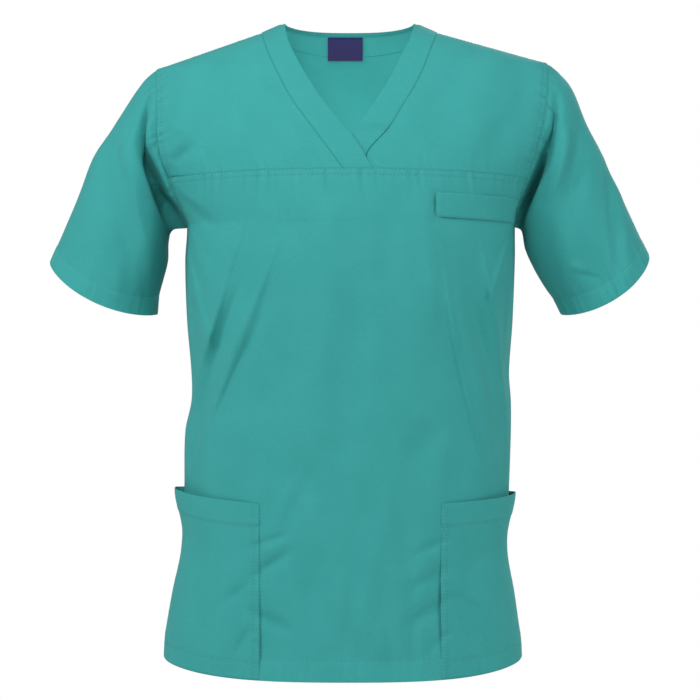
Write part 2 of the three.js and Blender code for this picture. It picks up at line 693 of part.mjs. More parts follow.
// Fractional row of a panel where one of its columns reaches a height.
function rowAtHeight(panel, column, z) {
  let low = SEARCH.below;
  let high = panel.middle.length - 1;
  while (high - low > SEARCH.step) {
    const half = (low + high) / 2;
    if (onPanel(panel, column, half, 0).z < z) low = half;
    else high = half;
  }
  return low;
}

// Fractional column of a panel at a place in the front view.
function columnAtX(panel, x, z) {
  let low = 0;
  let high = panel.middle[0].length - 1;
  while (high - low > SEARCH.step) {
    const half = (low + high) / 2;
    if (onPanel(panel, half, rowAtHeight(panel, half, z), 0).x < x) low = half;
    else high = half;
  }
  return low;
}

// Whole numbers between two values, kept a little clear of both.
function wholeBetween(from, to) {
  const first = Math.ceil(from + COLUMN_CLEAR);
  const count = Math.floor(to - COLUMN_CLEAR) - first + 1;
  return Array.from({ length: count }, (_, i) => first + i);
}

// A piece that lies on a panel. ends[k] gives the panel's columns that row k starts and stops at, with the
// panel's own columns between them; rowAt, lift and thickness give the row and the height at each place.
function laidPiece(panel, isInside, { ends, rowAt, lift, thickness }) {
  const first = Math.min(...ends.map(([from]) => from));
  const last = Math.max(...ends.map(([, to]) => to));
  const between = wholeBetween(first, last);
  const base = WALL / 2 + SEAM_GAP;
  const layer = (isTop) =>
    ends.map(([from, to], k) =>
      [from, ...between, to].map((whole, j, all) => {
        const isEnd = j === 0 || j === all.length - 1;
        const column = isEnd ? whole : clamp(whole, from + COLUMN_CLEAR, to - COLUMN_CLEAR);
        const s = (column - from) / (to - from);
        const height = base + lift(s, k) + (isTop ? thickness(k) : 0);
        return onPanel(panel, column, rowAt(column, s, k), isInside ? -height : height);
      }),
    );
  return closedBody(layer(true), layer(false), false, false);
}

// The chest pocket's welt, from its inner end to the armhole.
function chestWelt(frontBody) {
  const middleRows = [STEPS.frontLower + 1, STEPS.frontLower + 2];
  const rowAt = (column, s, k) => {
    const top = WELT.top + WELT.slope * s;
    if (k === 0) return rowAtHeight(frontBody, column, top - WELT.depth);
    return middleRows[k - 1] ?? rowAtHeight(frontBody, column, top);
  };
  const stop = frontBody.middle[0].length - 1 - WELT.outer;
  const start = columnAtX(frontBody, WELT.inner, WELT.top);
  const ends = [0, 1, 2, 3].map(() => [start, stop]);
  const shape = { ends, rowAt, lift: () => WELT.lift, thickness: () => WELT_WALL };
  return clothMesh('chest_pocket_welt', laidPiece(frontBody, false, shape));
}

// A lower patch pocket, from its inner edge to the side seam, with its thicker hem at the mouth.
function patchPocket(frontBody, patch) {
  const isRight = patch.side === 'right';
  const outward = (s) => (isRight ? 1 - s : s);
  const foot = DEPTHS[0].z + PATCH.foot;
  const below = [PATCH.bandDepth + PATCH.bandStep, PATCH.bandDepth, PATCH.bandDepth / 2, 0];
  const rows = 1 + PATCH.panelRows + below.length;
  const depthOf = (k) => below[k - 1 - PATCH.panelRows];
  const top = (s) => lerp(patch.top, patch.topOuter, outward(s));
  const rowAt = (column, s, k) => {
    if (k === 0) return PATCH.foot / (frontBody.middle[1][0].z - frontBody.middle[0][0].z);
    if (k <= PATCH.panelRows) return k;
    return rowAtHeight(frontBody, column, top(s) - depthOf(k));
  };
  const last = frontBody.middle[0].length - 1;
  const ends = range(0, rows - 1, rows - 1).map((k) => {
    const z = k > PATCH.panelRows ? patch.top : lerp(foot, patch.top, k / rows);
    const inner = columnAtX(frontBody, isRight ? -patch.inner : patch.inner, z);
    return isRight ? [PATCH.outer, inner] : [inner, last - PATCH.outer];
  });
  const lift = (s, k) => {
    if (k <= PATCH.panelRows - 1) return PATCH.lift;
    const down = depthOf(k) ?? PATCH.lastRowDepth;
    const open = 1 - smoothstep(down, 0, PATCH.gapeDepth);
    return PATCH.lift + patch.gape * open * smoothstep(outward(s), PATCH.gapeStart, 1);
  };
  const thickness = (k) => POCKET_WALL + (k >= rows - PATCH.bandRows ? PATCH.bandExtra : 0);
  const geometry = laidPiece(frontBody, false, { ends, rowAt, lift, thickness });
  return clothMesh(`patch_pocket_${patch.side}`, geometry);
}

// The blank label, inside the back neck.
function neckLabel(backBand) {
  const heightOf = (k) => LABEL.top - LABEL.height * (1 - k / STEPS.labelDown);
  const rowAt = (column, s, k) => rowAtHeight(backBand, column, heightOf(k));
  const end = (side, z) => columnAtX(backBand, LABEL.centre + (side * LABEL.width) / 2, z);
  const ends = range(0, STEPS.labelDown, STEPS.labelDown).map((k) => [
    end(-1, heightOf(k)),
    end(1, heightOf(k)),
  ]);
  const shape = { ends, rowAt, lift: () => LABEL.lift, thickness: () => LABEL_WALL };
  return clothMesh('neck_label', laidPiece(backBand, true, shape), LABEL_CLOTH);
}

const panels = sewnPanels();
const frontBody = panels.find(({ mesh }) => mesh.name === 'front_body');
const backBand = panels.find(({ mesh }) => mesh.name === 'neck_band_back');
const scrubTop = new THREE.Group();
scrubTop.add(...panels.map(({ mesh }) => mesh));
scrubTop.add(chestWelt(frontBody));
scrubTop.add(patchPocket(frontBody, PATCHES.right));
scrubTop.add(patchPocket(frontBody, PATCHES.left));
scrubTop.add(neckLabel(backBand));

export default scrubTop;
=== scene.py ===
"""V-neck scrub top in its worn shape with nobody in it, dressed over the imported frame.

Every cut-and-sewn piece of the frame gets a fine cloth shell on the same form, with its folds, puckers,
hems, turned edges and topstitching. Lengths are millimetres until a mesh is made. Right and left are the
wearer's, so right is -X, and the front faces -Y.
"""

import logging
import math
from dataclasses import dataclass, field
from enum import Enum

import bmesh
import bpy
import numpy as np
from mathutils import Matrix, Vector


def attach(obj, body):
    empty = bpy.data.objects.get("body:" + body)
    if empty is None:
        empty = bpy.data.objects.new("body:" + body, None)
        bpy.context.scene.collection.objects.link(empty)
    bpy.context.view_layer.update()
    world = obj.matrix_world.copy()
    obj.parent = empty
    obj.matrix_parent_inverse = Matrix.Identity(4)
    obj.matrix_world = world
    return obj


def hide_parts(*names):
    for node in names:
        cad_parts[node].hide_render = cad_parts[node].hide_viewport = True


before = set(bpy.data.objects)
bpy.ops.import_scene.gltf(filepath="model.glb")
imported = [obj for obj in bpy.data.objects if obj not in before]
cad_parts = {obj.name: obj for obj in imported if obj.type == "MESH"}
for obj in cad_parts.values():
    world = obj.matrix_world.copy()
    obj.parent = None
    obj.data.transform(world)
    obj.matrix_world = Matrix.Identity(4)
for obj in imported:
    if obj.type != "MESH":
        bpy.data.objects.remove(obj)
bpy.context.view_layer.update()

MM = 0.001
Array = np.ndarray
Point = tuple[float, float, float]
log = logging.getLogger("scrub_top")

# Form of the torso, as in the part's source: height, depth of the front, depth of the back
DEPTHS = np.array([
    (-707, 137, 142), (-600, 133, 134), (-480, 130, 124), (-380, 129, 120), (-280, 132, 124),
    (-207, 130, 126), (-150, 120, 121), (-100, 104, 110), (-62, 86, 97), (-35, 71, 87), (0, 46, 74),
    (28, 20, 62),
], dtype=float)

# Height, half width on the right, half width on the left
WIDTHS = np.array([
    (-707, 209, 194), (-671, 207, 191.5), (-624, 199.5, 185.5), (-573, 189, 177), (-505, 187, 180.5),
    (-440, 186, 183), (-405, 179, 183), (-373, 179, 181), (-313, 184, 185), (-247, 186, 187),
    (-207, 184, 187), (-190, 189, 188), (-162, 200, 196), (-138, 209, 204), (-110, 214, 212),
    (-75, 215, 220), (-23, 220, 225),
], dtype=float)

# How far the shoulder seam lies before and under the ridge, then the ridge's points at the band's foot and
# at the neck
SEAM_FORWARD = 10.0
SEAM_DROP = 3.0
BAND_FOOT = (100.0, 12.4, 15.5)
NECK_POINT = (74.0, 15.0, 27.2)
# The back's ridge: its fall towards the band's foot, and its place behind the neck seam
RIDGE_DROP = 3.6
NECK_INSET = 0.95
NECK_DROP = 10.0
# The torso's plan: its roundness from the waist to the armholes, and where folds fade beside its edges
SIDE_ROUNDNESS = (2.25, 2.45)
WAIST = -480.0
FOLD_FADE = 0.06
# How far the hem rises at the sides and over what height that fades
HEM_LIFT = (11.0, 60.0)
# Share of the way across where the back's grid turns from the shoulders to the neck
BACK_SHARE = 0.56
# The yoke seam's heights, and the back neck's with the roundness of its two lines
YOKE_CENTRE = -150.0
YOKE_SIDE = -156.0
BACK_NECK = {"seam": -4.5, "edge": 22.7, "seam_power": 2.2, "edge_power": 3.0}
# How far the cloth's outer face stands off the solids' middle, and a pocket or the welt off that
OUT = 0.8
LAID = 1.5
# How many times their tables' heights the creases of the front and the back have
CREASE_DEPTH = 2.5

# Neck band: place along it, then its outer edge (x, z) and its inner edge (x, z)
BAND_RIGHT = np.array([
    (0, -100, 12.5, -74, 24.2), (0.15, -91, -14, -69, 1), (0.3, -81, -37, -59, -22),
    (0.45, -68, -63, -45, -48), (0.6, -53.5, -86, -30, -72), (0.75, -38, -107, -13, -94),
    (0.88, -20, -132, 8, -120), (1, -6.7, -150, 25, -150),
], dtype=float)
BAND_LEFT = np.array([
    (0, 100, 12.5, 74, 24.2), (0.15, 90, -14, 67, 0), (0.3, 81, -38, 57, -21), (0.45, 69.5, -61, 46, -44),
    (0.6, 56, -83, 32, -68), (0.75, 43, -105, 17, -91), (0.88, 19.8, -133, 3, -114), (1, 25, -150, 8, -150),
], dtype=float)

# Sleeves: place along, outer point (x, z), inner point (x, z), depth before, depth behind
SLEEVE_RIGHT = np.array([
    (0, -220, -30, -184, -207, 62, 68), (0.1, -234, -43, -201, -210, 65, 68),
    (0.28, -255, -75, -207, -224, 65, 66), (0.5, -284, -121, -207, -246, 63, 64),
    (0.72, -306, -169, -212, -268, 61, 62), (0.88, -325, -213, -218, -289, 59, 60),
    (1, -339.5, -247, -220, -307, 58, 58),
], dtype=float)
SLEEVE_LEFT = np.array([
    (0, 225, -23, 187, -206, 62, 68), (0.1, 237, -33, 197, -211, 65, 68),
    (0.28, 257.5, -61, 202, -233, 65, 66), (0.5, 277.5, -108, 212, -255, 64, 64),
    (0.72, 299, -155, 225, -276, 63, 63), (0.88, 320, -202, 235, -291, 62, 62),
    (1, 339, -239, 243, -307, 61, 61),
], dtype=float)
# How far a cuff droops before and behind, and how sharply round it
CUFF_DROOP = (18.0, 9.0, 1.5)

# Folds by their ends in the front view (x0, z0, x1, z1), bow sideways, half width, height (minus is a trough)
FRONT_FOLDS = (
    (-94, -292, -182, -500, 8, 13, 7), (-128, -263, -171, -400, 5, 10, 6),
    (-182, -222, -155, -330, -4, 8, -5), (-112, -330, -176, -450, 4, 9, -4),
    (104, -266, 163, -500, -10, 13, 7), (146, -240, 173, -372, -2, 9, 5), (128, -280, 158, -420, -4, 8, -4),
    (-20, -470, -92, -560, 6, 18, -4), (-197, -142, -168, -120, 0, 8, -5),
)
BACK_FOLDS = (
    (-120, -240, -170, -470, 8, 15, 7), (-150, -215, -176, -380, 4, 10, -5),
    (112, -230, 168, -500, -9, 15, 7), (150, -220, 174, -360, -4, 10, -5), (20, -470, -40, -640, 8, 20, 5),
    (-60, -560, -84, -690, 3, 16, -5), (70, -540, 96, -690, 3, 16, -5),
)

# Broad waves of hanging cloth: length down, length across, lean, start and height
DRAPE_WAVES = (
    (410, 118, 0.22, 0.4, 1.5), (290, 83, -0.30, 1.9, 1.3), (230, 61, 0.12, 3.1, 0.9),
    (170, 47, -0.16, 4.4, 0.55), (120, 33, 0.08, 0.9, 0.2),
)
# How far and over what length the waves bend, down and across, and how evenly they run down
DRAPE_BENDS = ((0.9, 83), (0.5, 61))
DRAPE_SHARES = (0.55, 0.45)

# Creases too fine or too narrow for the part's solids, by the same measures
FRONT_CREASES = (
    (-70, -213, -206, -553, 0, 3.0, 2.1), (-146, -380, -188, -520, 0, 8, -2.2),
    (-80, -268, -140, -410, 0, 8, -1.3), (-108, -185, -190, -455, 1, 2.8, 1.9),
    (-106, -240, -190, -535, 8, 6.5, -2.4), (-35, -455, -100, -600, 8, 9, 1.4),
    (98, -215, 168, -535, 9, 2.8, 2.0), (118, -224, 185, -520, 2, 11, -3.3),
    (140, -205, 190, -465, 0, 2.6, 1.9), (186, -198, 146, -315, 0, 2.6, 1.5),
    (173, -258, 172, -376, 0, 5, -1.6), (20, -430, 70, -600, -8, 12, -1.6),
    (40, -520, 10, -700, 5, 14, 1.6), (-30, -560, -48, -700, 3, 12, -1.8), (-6, -580, -12, -700, 2, 9, 1.5),
    (60, -560, 70, -700, -3, 11, -1.5), (-120, -560, -140, -700, 4, 12, 1.4),
    (120, -550, 140, -700, -3, 12, -1.4), (-190, -168, -140, -215, 4, 6, -1.8),
    (-196, -160, -160, -190, 3, 4, 1.5), (-192, -175, -165, -240, 3, 5, 1.5),
    (188, -170, 165, -235, -3, 5, 1.3), (-60, -165, -70, -250, 2, 10, -0.9),
    (-20, -165, -24, -300, 2, 14, 0.9), (40, -165, 44, -280, -2, 12, -0.8),
    (84, -210, 92, -330, -2, 9, 0.9), (-188, -215, -146, -365, 0, 2.6, 1.5),
    (-192, -225, -158, -400, 0, 6, -2.5), (-176, -222, -140, -262, 0, 8, -0.9),
    (-114, -566, -64, -546, 0, 5, -1.3), (-114, -602, -56, -560, 0, 7, -1.8),
    (-114, -628, -58, -656, 0, 7, -1.8), (114, -550, 64, -574, 0, 5, -0.9),
    (114, -582, 58, -612, 0, 7, -1.2), (114, -616, 54, -652, 0, 7, -1.2), (114, -648, 78, -682, 0, 5, -0.9),
    (-152, -634, -102, -598, 0, 7, -1.3), (-128, -688, -100, -636, 0, 6, -1.1),
    (148, -640, 102, -610, 0, 7, -1.3), (170, -560, 120, -600, 3, 9, -1.0),
    (-70, -500, -20, -440, 4, 16, -1.3), (60, -480, 110, -420, -4, 16, -1.2),
    (-60, -380, -10, -520, 8, 18, 1.1), (92.5, -171, 92.5, -209, 0, 2.0, -1.7),
    (-26, -640, -22, -700, 0, 7, 1.2), (-170, -400, -196, -500, 0, 7, -2.6),
    (8, -650, 12, -700, 0, 6, -1.2), (30, -640, 38, -690, 0, 6, 1.2), (74, -640, 80, -700, 0, 7, 1.2),
)
YOKE_CREASES = (
    (-206, -168, -186, -134, 0, 14, -2.6), (-186, -110, -160, -150, -3, 8, 1.2),
    (-166, -124, -134, -160, 2, 6, -1.2), (-204, -94, -168, -110, 3, 6, 1.6),
    (-190, -60, -130, -120, 7, 14, -1.4), (205, -95, 196, -140, -2, 7, 2.0),
    (200, -60, 150, -120, -7, 14, -1.3), (-90, -60, -60, -140, 3, 12, 0.8),
    (96, -70, 70, -140, -3, 12, 0.8), (-150, -20, -120, -90, 3, 16, 1.0), (150, -20, 124, -90, -3, 16, 1.0),
)
BACK_CREASES = (
    (-100, -250, -150, -480, 9, 7, -2.0), (-136, -230, -172, -420, 5, 5, 1.6),
    (100, -250, 150, -480, -9, 7, -2.0), (138, -230, 172, -420, -5, 5, 1.6),
    (0, -300, -30, -520, 8, 18, -2.0), (40, -320, 60, -560, -5, 14, 1.8),
    (-30, -600, -40, -700, 2, 10, 1.6), (110, -560, 124, -700, -2, 9, 1.6),
    (-120, -560, -132, -700, 2, 9, 1.6), (-196, -120, -140, -190, 6, 8, -2.2),
    (196, -120, 140, -190, -6, 8, -2.2), (-190, -90, -120, -120, 4, 9, 1.6),
    (190, -90, 120, -120, -4, 9, 1.6), (-80, -40, -90, -160, 2, 18, 1.2), (84, -40, 92, -160, -2, 18, 1.2),
)
SLEEVE_RIGHT_CREASES = (
    (-222, -58, -214, -168, 13, 4.5, -15), (-235, -104, -182, -254, 0, 5.5, -34),
    (-246, -84, -228, -200, 6, 9, 4), (-222, -180, -238, -300, 0, 13, 7),
    (-198, -176, -186, -216, 0, 9, -12), (-252, -104, -247, -160, -2, 9, 3.0),
    (-287, -166, -304, -222, 2, 10, 2.4), (-240, -150, -226, -240, 3, 5, 2.4),
    (-262, -150, -238, -262, 5, 8, -2.4), (-224, -44, -232, -66, 1, 5, -2.0),
    (-250, -230, -262, -296, 1, 8, 1.8), (-236, -236, -232, -296, 0, 5, -1.6),
    (-290, -228, -306, -280, 1, 9, -1.6),
)
SLEEVE_LEFT_CREASES = (
    (232, -56, 208, -168, -6, 4.5, -13), (225, -100, 174, -240, 0, 5.5, -34),
    (243, -92, 222, -184, -4, 6, 5), (232, -196, 250, -290, 0, 10, 4), (262, -80, 236, -200, -5, 9, -5),
    (226, -140, 212, -190, -2, 5, -2.5), (289, -130, 300, -290, 0, 5, -3.2),
    (301, -150, 313, -290, 0, 6, 2.6), (256, -120, 250, -220, 3, 10, -2.6),
    (240, -196, 262, -292, 2, 8, 2.2), (246, -250, 266, -260, 0, 4, 1.8),
    (270, -230, 286, -290, 0, 8, -1.8), (290, -120, 310, -180, 0, 12, 1.6),
    (256, -262, 282, -270, 0, 3, -1.5),
)


def read(table: Array, column: int, place: Array) -> Array:
    """Read a table's column on a smooth curve through its rows.

    Args:
        table: Rows in ascending order of their first column.
        column: The column to read.
        place: Places along the first column.

    Returns:
        The column's value at each place.
    """
    keys, values = table[:, 0], table[:, column]
    last = len(keys) - 1
    index = np.arange(last + 1)
    low, high = np.maximum(index - 1, 0), np.minimum(index + 1, last)
    slopes = (values[high] - values[low]) / (keys[high] - keys[low])
    at = np.clip(place, keys[0], keys[-1])
    after = np.clip(np.searchsorted(keys, at), 1, last)
    before = after - 1
    span = keys[after] - keys[before]
    f = (at - keys[before]) / span
    rise = (1 - f) ** 2 * f * span * slopes[before] + f * f * (f - 1) * span * slopes[after]
    return values[before] + (values[after] - values[before]) * f * f * (3 - 2 * f) + rise


def smooth(value: Array, low: float, high: float) -> Array:
    """Return 0 below low, 1 above high and a smooth rise between them."""
    f = np.clip((value - low) / (high - low), 0, 1)
    return f * f * (3 - 2 * f)


def lerp(a: Array, b: Array, share: Array) -> Array:
    """Return the value at a share of the way from a to b."""
    return a + (b - a) * share


def fold_height(folds: tuple, x: Array, z: Array) -> Array:
    """Sum the heights of soft folds over points of the front view.

    Args:
        folds: Rows of (x0, z0, x1, z1, bow, half width, height).
        x: Places across.
        z: Heights.

    Returns:
        Height over the plain cloth, minus in a trough.
    """
    height = np.zeros(np.broadcast(x, z).shape)
    for x0, z0, x1, z1, bow, width, rise in folds:
        length = math.hypot(x1 - x0, z1 - z0)
        t = ((x - x0) * (x1 - x0) + (z - z0) * (z1 - z0)) / length ** 2
        taper = np.sin(np.pi * np.clip(t, 0, 1))
        across = ((x - x0) * (z1 - z0) - (z - z0) * (x1 - x0)) / length - bow * taper
        height = height + rise * taper * np.exp(-((across / width) ** 2))
    return height


def drape(x: Array, z: Array) -> Array:
    """Work out the broad soft waves that hanging cloth keeps everywhere.

    Args:
        x: Places across.
        z: Heights.

    Returns:
        Height over the plain cloth.
    """
    height = 0.0
    for long, across, lean, start, rise in DRAPE_WAVES:
        down, aside = DRAPE_BENDS
        bend = down[0] * np.sin(z / down[1] + start * 2.3) + aside[0] * np.sin(x / aside[1] + start)
        phase = 2 * np.pi * ((x + lean * z) / across) + start + bend
        even, uneven = DRAPE_SHARES
        height = height + rise * np.sin(phase) * (even + uneven * np.sin(2 * np.pi * z / long + start * 1.7))
    return height


class Side(Enum):
    """The wearer's sides, by the sign of X."""

    RIGHT = -1
    LEFT = 1


@dataclass(frozen=True)
class Armhole:
    """An armhole seam: an upright loop, whose x follows the torso's width."""

    side: Side
    top: float
    foot: float
    front: float = 62.0
    back: float = 68.0

    @property
    def sign(self) -> int:
        """Sign of X on this side."""
        return self.side.value

    @property
    def column(self) -> int:
        """Column of WIDTHS for this side."""
        return 1 if self.side is Side.RIGHT else 2

    def point(self, degrees: Array) -> Array:
        """Work out points of the seam.

        Args:
            degrees: Angles round the loop: -90 is the underarm, 0 the front, 90 the shoulder, 180 the back.

        Returns:
            The seam's point at each angle.
        """
        angle = np.radians(np.asarray(degrees, dtype=float))
        z = (self.top + self.foot) / 2 + (self.top - self.foot) / 2 * np.sin(angle)
        depth = np.where(np.cos(angle) > 0, self.front, self.back)
        return np.stack([self.sign * read(WIDTHS, self.column, z), -depth * np.cos(angle), z], axis=-1)

    def seam_angle(self) -> float:
        """Return the angle where the shoulder seam ends, on the front."""
        return 180 - math.degrees(math.acos(-SEAM_FORWARD / self.front))

    def front_angle(self, z: Array) -> Array:
        """Return the angle of the seam's front at a height."""
        half = (self.top - self.foot) / 2
        return np.degrees(np.arcsin(np.clip((z - self.foot - half) / half, -1, 1)))

    def shoulder_line(self, is_seam: bool) -> Array:
        """Work out the line of the shoulder.

        Args:
            is_seam: Whether the seam is asked for, or else the ridge behind it.

        Returns:
            The line's points at the armhole, at the band's foot and at the neck.
        """
        forward, drop = (SEAM_FORWARD, SEAM_DROP) if is_seam else (0.0, 0.0)
        tip = self.point(self.seam_angle() if is_seam else 90.0)
        others = [(self.sign * x, y - forward, z - drop) for x, y, z in (BAND_FOOT, NECK_POINT)]
        return np.array([tip, *others])

    def edge(self, is_front: bool, z: Array) -> Array:
        """Work out the torso's edge: side seam, then armhole, then shoulder.

        Args:
            is_front: Whether the edge belongs to the front.
            z: Heights.

        Returns:
            The edge's point at each height.
        """
        z = np.asarray(z, dtype=float)
        side = np.stack([self.sign * read(WIDTHS, self.column, z), 0 * z, z], axis=-1)
        angle = self.front_angle(z)
        arm = self.point(angle if is_front else 180 - angle)
        line = self.shoulder_line(is_front)
        top = np.stack([np.interp(z, line[:, 2], line[:, k]) for k in (0, 1)] + [z], axis=-1)
        high = (z >= line[0, 2])[..., None]
        low = (z <= self.foot)[..., None]
        return np.where(low, side, np.where(high, top, arm))


@dataclass(frozen=True)
class Torso:
    """The form that the front, the back, the bands and the pockets lie on."""

    right: Armhole = Armhole(Side.RIGHT, -30.0, -207.0)
    left: Armhole = Armhole(Side.LEFT, -23.0, -206.0)

    def side_y(self, hole: Armhole, is_front: bool, x: Array, z: Array) -> Array:
        """Work out the depth of one side of the torso, with its folds and creases.

        Args:
            hole: The armhole of that side.
            is_front: Whether the front is asked for, or else the back.
            x: Places across.
            z: Heights.

        Returns:
            The depth at each point of the front view.
        """
        edge = hole.edge(is_front, z)
        sign = -1 if is_front else 1
        tip = hole.shoulder_line(is_front)[0]
        base = np.where(z > tip[2], edge[..., 1] - tip[1], 0)
        deep = sign * read(DEPTHS, 1 if is_front else 2, z) - base
        power = lerp(*SIDE_ROUNDNESS, smooth(z, WAIST, hole.foot))
        cut = (1 - np.clip((edge[..., 1] - base) / deep, 0, 0.9) ** power) ** (1 / power)
        q = np.minimum(1, cut * np.abs(x) / np.abs(edge[..., 0]))
        fade = smooth(1 - np.abs(x / edge[..., 0]), 0, FOLD_FADE)
        folds, creases = (FRONT_FOLDS, FRONT_CREASES) if is_front else (BACK_FOLDS, BACK_CREASES)
        height = fold_height(folds, x, z) + CREASE_DEPTH * fold_height(creases, x, z)
        return base + deep * (1 - q ** power) ** (1 / power) + sign * fade * height

    def y(self, is_front: bool, x: Array, z: Array) -> Array:
        """Work out the depth of the torso.

        Args:
            is_front: Whether the front is asked for, or else the back.
            x: Places across.
            z: Heights.

        Returns:
            The depth at each point of the front view.
        """
        x, z = np.broadcast_arrays(np.asarray(x, dtype=float), np.asarray(z, dtype=float))
        right = self.side_y(self.right, is_front, x, z)
        left = self.side_y(self.left, is_front, x, z)
        return np.where(x < 0, right, left)

    def edge_x(self, is_front: bool, side_sign: Array, z: Array) -> Array:
        """Work out how far across the torso's edge lies.

        Args:
            is_front: Whether the edge belongs to the front.
            side_sign: Minus for the right side, plus for the left.
            z: Heights.

        Returns:
            The edge's x at each height.
        """
        right = self.right.edge(is_front, z)[..., 0]
        left = self.left.edge(is_front, z)[..., 0]
        return np.where(side_sign < 0, right, left)

    def point(self, is_front: bool, across: Array, z: Array) -> Array:
        """Work out points of the torso from edge to edge.

        Args:
            is_front: Whether the front is asked for, or else the back.
            across: Places across, from -1 at the right edge to 1 at the left.
            z: Heights.

        Returns:
            The points, with the hem raised towards the side seams.
        """
        across, z = np.broadcast_arrays(np.asarray(across, dtype=float), np.asarray(z, dtype=float))
        q = np.sin(np.pi / 2 * np.abs(across))
        x = self.edge_x(is_front, across, z) * q
        low = DEPTHS[0, 0]
        lift = HEM_LIFT[0] * q ** 4 * smooth(low + HEM_LIFT[1] - z, 0, HEM_LIFT[1])
        return np.stack([x, self.y(is_front, x, z), z + lift], axis=-1)

    def yoke_height(self, x: Array) -> Array:
        """Return the height of the yoke seam at places across."""
        edge = np.abs(self.edge_x(True, x, np.full(np.shape(x), YOKE_SIDE)))
        return lerp(YOKE_CENTRE, YOKE_SIDE, np.minimum(1, np.abs(x) / edge) ** 2)

    def laid(self, is_front: bool, x: Array, z: Array) -> Array:
        """Return points of the torso over points of the front view."""
        return np.stack([x, self.y(is_front, x, z), z], axis=-1)

    def yoke_seam(self, from_x: float, to_x: float, count: int) -> Array:
        """Return an even count of points of the yoke seam between two places across."""
        x = np.linspace(from_x, to_x, count)
        return self.laid(True, x, self.yoke_height(x))


TORSO = Torso()
DENSE = 260
# Points across a neck band's form
BAND_POINTS = 24


def fill_grid(foot: Array, top: Array, right: Array, left: Array) -> tuple[Array, Array]:
    """Blend the four edges of a panel into a grid of the front view.

    Args:
        foot: Points of the lower edge.
        top: Points of the upper edge.
        right: Points of the garment's right edge, upwards.
        left: Points of its left edge.

    Returns:
        The grid's x and z.
    """
    s = ((foot[:, 0] - foot[0, 0]) / (foot[-1, 0] - foot[0, 0]))[None, :, None]
    t = ((right[:, 2] - right[0, 2]) / (right[-1, 2] - right[0, 2]))[:, None, None]
    ends = lerp(lerp(foot[0], foot[-1], s), lerp(top[0], top[-1], s), t)
    grid = lerp(foot[None], top[None], t) + lerp(right[:, None], left[:, None], s) - ends
    return grid[..., 0], grid[..., 2]


def lay_on_torso(is_front: bool, foot: Array, top: Array, right: Array, left: Array) -> Array:
    """Lay a panel on the torso between its four edges.

    Args:
        is_front: Whether it lies on the front, or else on the back.
        foot: Points of the lower edge.
        top: Points of the upper edge.
        right: Points of the garment's right edge, upwards.
        left: Points of its left edge.

    Returns:
        The panel's grid, with its edges kept where they are given.
    """
    grid = TORSO.laid(is_front, *fill_grid(foot, top, right, left))
    grid[0], grid[-1], grid[:, 0], grid[:, -1] = foot, top, right, left
    return grid


def band_edge(table: Array, is_outer: bool, count: int) -> Array:
    """Work out an edge of a front neck band, from the yoke seam up to the shoulder seam.

    Args:
        table: The band's table.
        is_outer: Whether the outer edge is asked for, or else the inner.
        count: How many points.

    Returns:
        The edge's points.
    """
    t = np.linspace(1, 0, count)
    x, z = (read(table, k, t) for k in ((1, 2) if is_outer else (3, 4)))
    z[0] = TORSO.yoke_height(x[:1])[0]
    points = TORSO.laid(True, x, z)
    hole = TORSO.right if table[0, 1] < 0 else TORSO.left
    points[-1] = hole.shoulder_line(True)[1 if is_outer else 2]
    return points


def back_neck(is_seam: bool, count: int) -> Array:
    """Work out the back's neck seam or the neck's top edge, from right to left.

    Args:
        is_seam: Whether the seam is asked for, or else the edge.
        count: How many points.

    Returns:
        The line's points.
    """
    side = BAND_FOOT if is_seam else NECK_POINT
    centre = BACK_NECK["seam" if is_seam else "edge"]
    power = BACK_NECK["seam_power" if is_seam else "edge_power"]
    x = side[0] * np.sin(np.pi / 2 * np.linspace(-1, 1, count))
    points = TORSO.laid(False, x, lerp(centre, side[2], np.abs(x / side[0]) ** power))
    points[0], points[-1] = (-side[0], side[1], side[2]), side
    return points


@dataclass(frozen=True)
class Spacing:
    """Rows or columns of a panel: close together at its two edges, even between them."""

    pitch: float = 2.8
    start: tuple[float, ...] = (0, 0.7, 1.4, 2.2, 3.4, 5, 6.4, 7.2, 8, 9.5, 11.5)
    end: tuple[float, ...] = (0, 0.7, 1.4, 2.2, 3.4, 5, 6.4, 7.2, 8, 9.5, 11.5)

    def places(self, lengths: Array) -> Array:
        """Place the rows or columns along lines.

        Args:
            lengths: The lines' lengths.

        Returns:
            Distances along each line.
        """
        inner = lengths - self.start[-1] - self.end[-1]
        count = max(2, round(float(inner.mean()) / self.pitch))
        middle = self.start[-1] + inner[:, None] * np.arange(1, count)[None] / count
        start = np.repeat(np.array([self.start]), len(lengths), axis=0)
        end = lengths[:, None] - np.array([self.end[::-1]])
        return np.concatenate([start, middle, end], axis=1)


def travelled(lines: Array) -> Array:
    """Return how far each point lies along its line."""
    steps = np.linalg.norm(np.diff(lines, axis=1), axis=2)
    return np.concatenate([np.zeros((len(lines), 1)), np.cumsum(steps, axis=1)], axis=1)


def respace(grid: Array, spacing: Spacing, axis: int) -> Array:
    """Give a grid new rows or columns by their real distances.

    Args:
        grid: Points of a surface.
        spacing: The new rows or columns.
        axis: 0 for rows, 1 for columns.

    Returns:
        The new grid.
    """
    lines = grid if axis == 1 else grid.swapaxes(0, 1)
    far = travelled(lines)
    places = spacing.places(far[:, -1])
    new = np.array([
        np.stack([np.interp(at, d, line[:, k]) for k in range(3)], axis=-1)
        for line, d, at in zip(lines, far, places)
    ])
    return new if axis == 1 else new.swapaxes(0, 1)


# Puckers along a seam: wave length and height, the usual height of their sum, then how far apart puckered
# stretches are and the least share of the height with what varies
PUCKER_WAVES = ((6.8, 0.5), (9.1, 0.7), (12.7, 0.8), (19.0, 0.6))
PUCKER_SUM = 1.8
PUCKER_STRETCH = 57.0
PUCKER_SHARES = (0.62, 0.38)


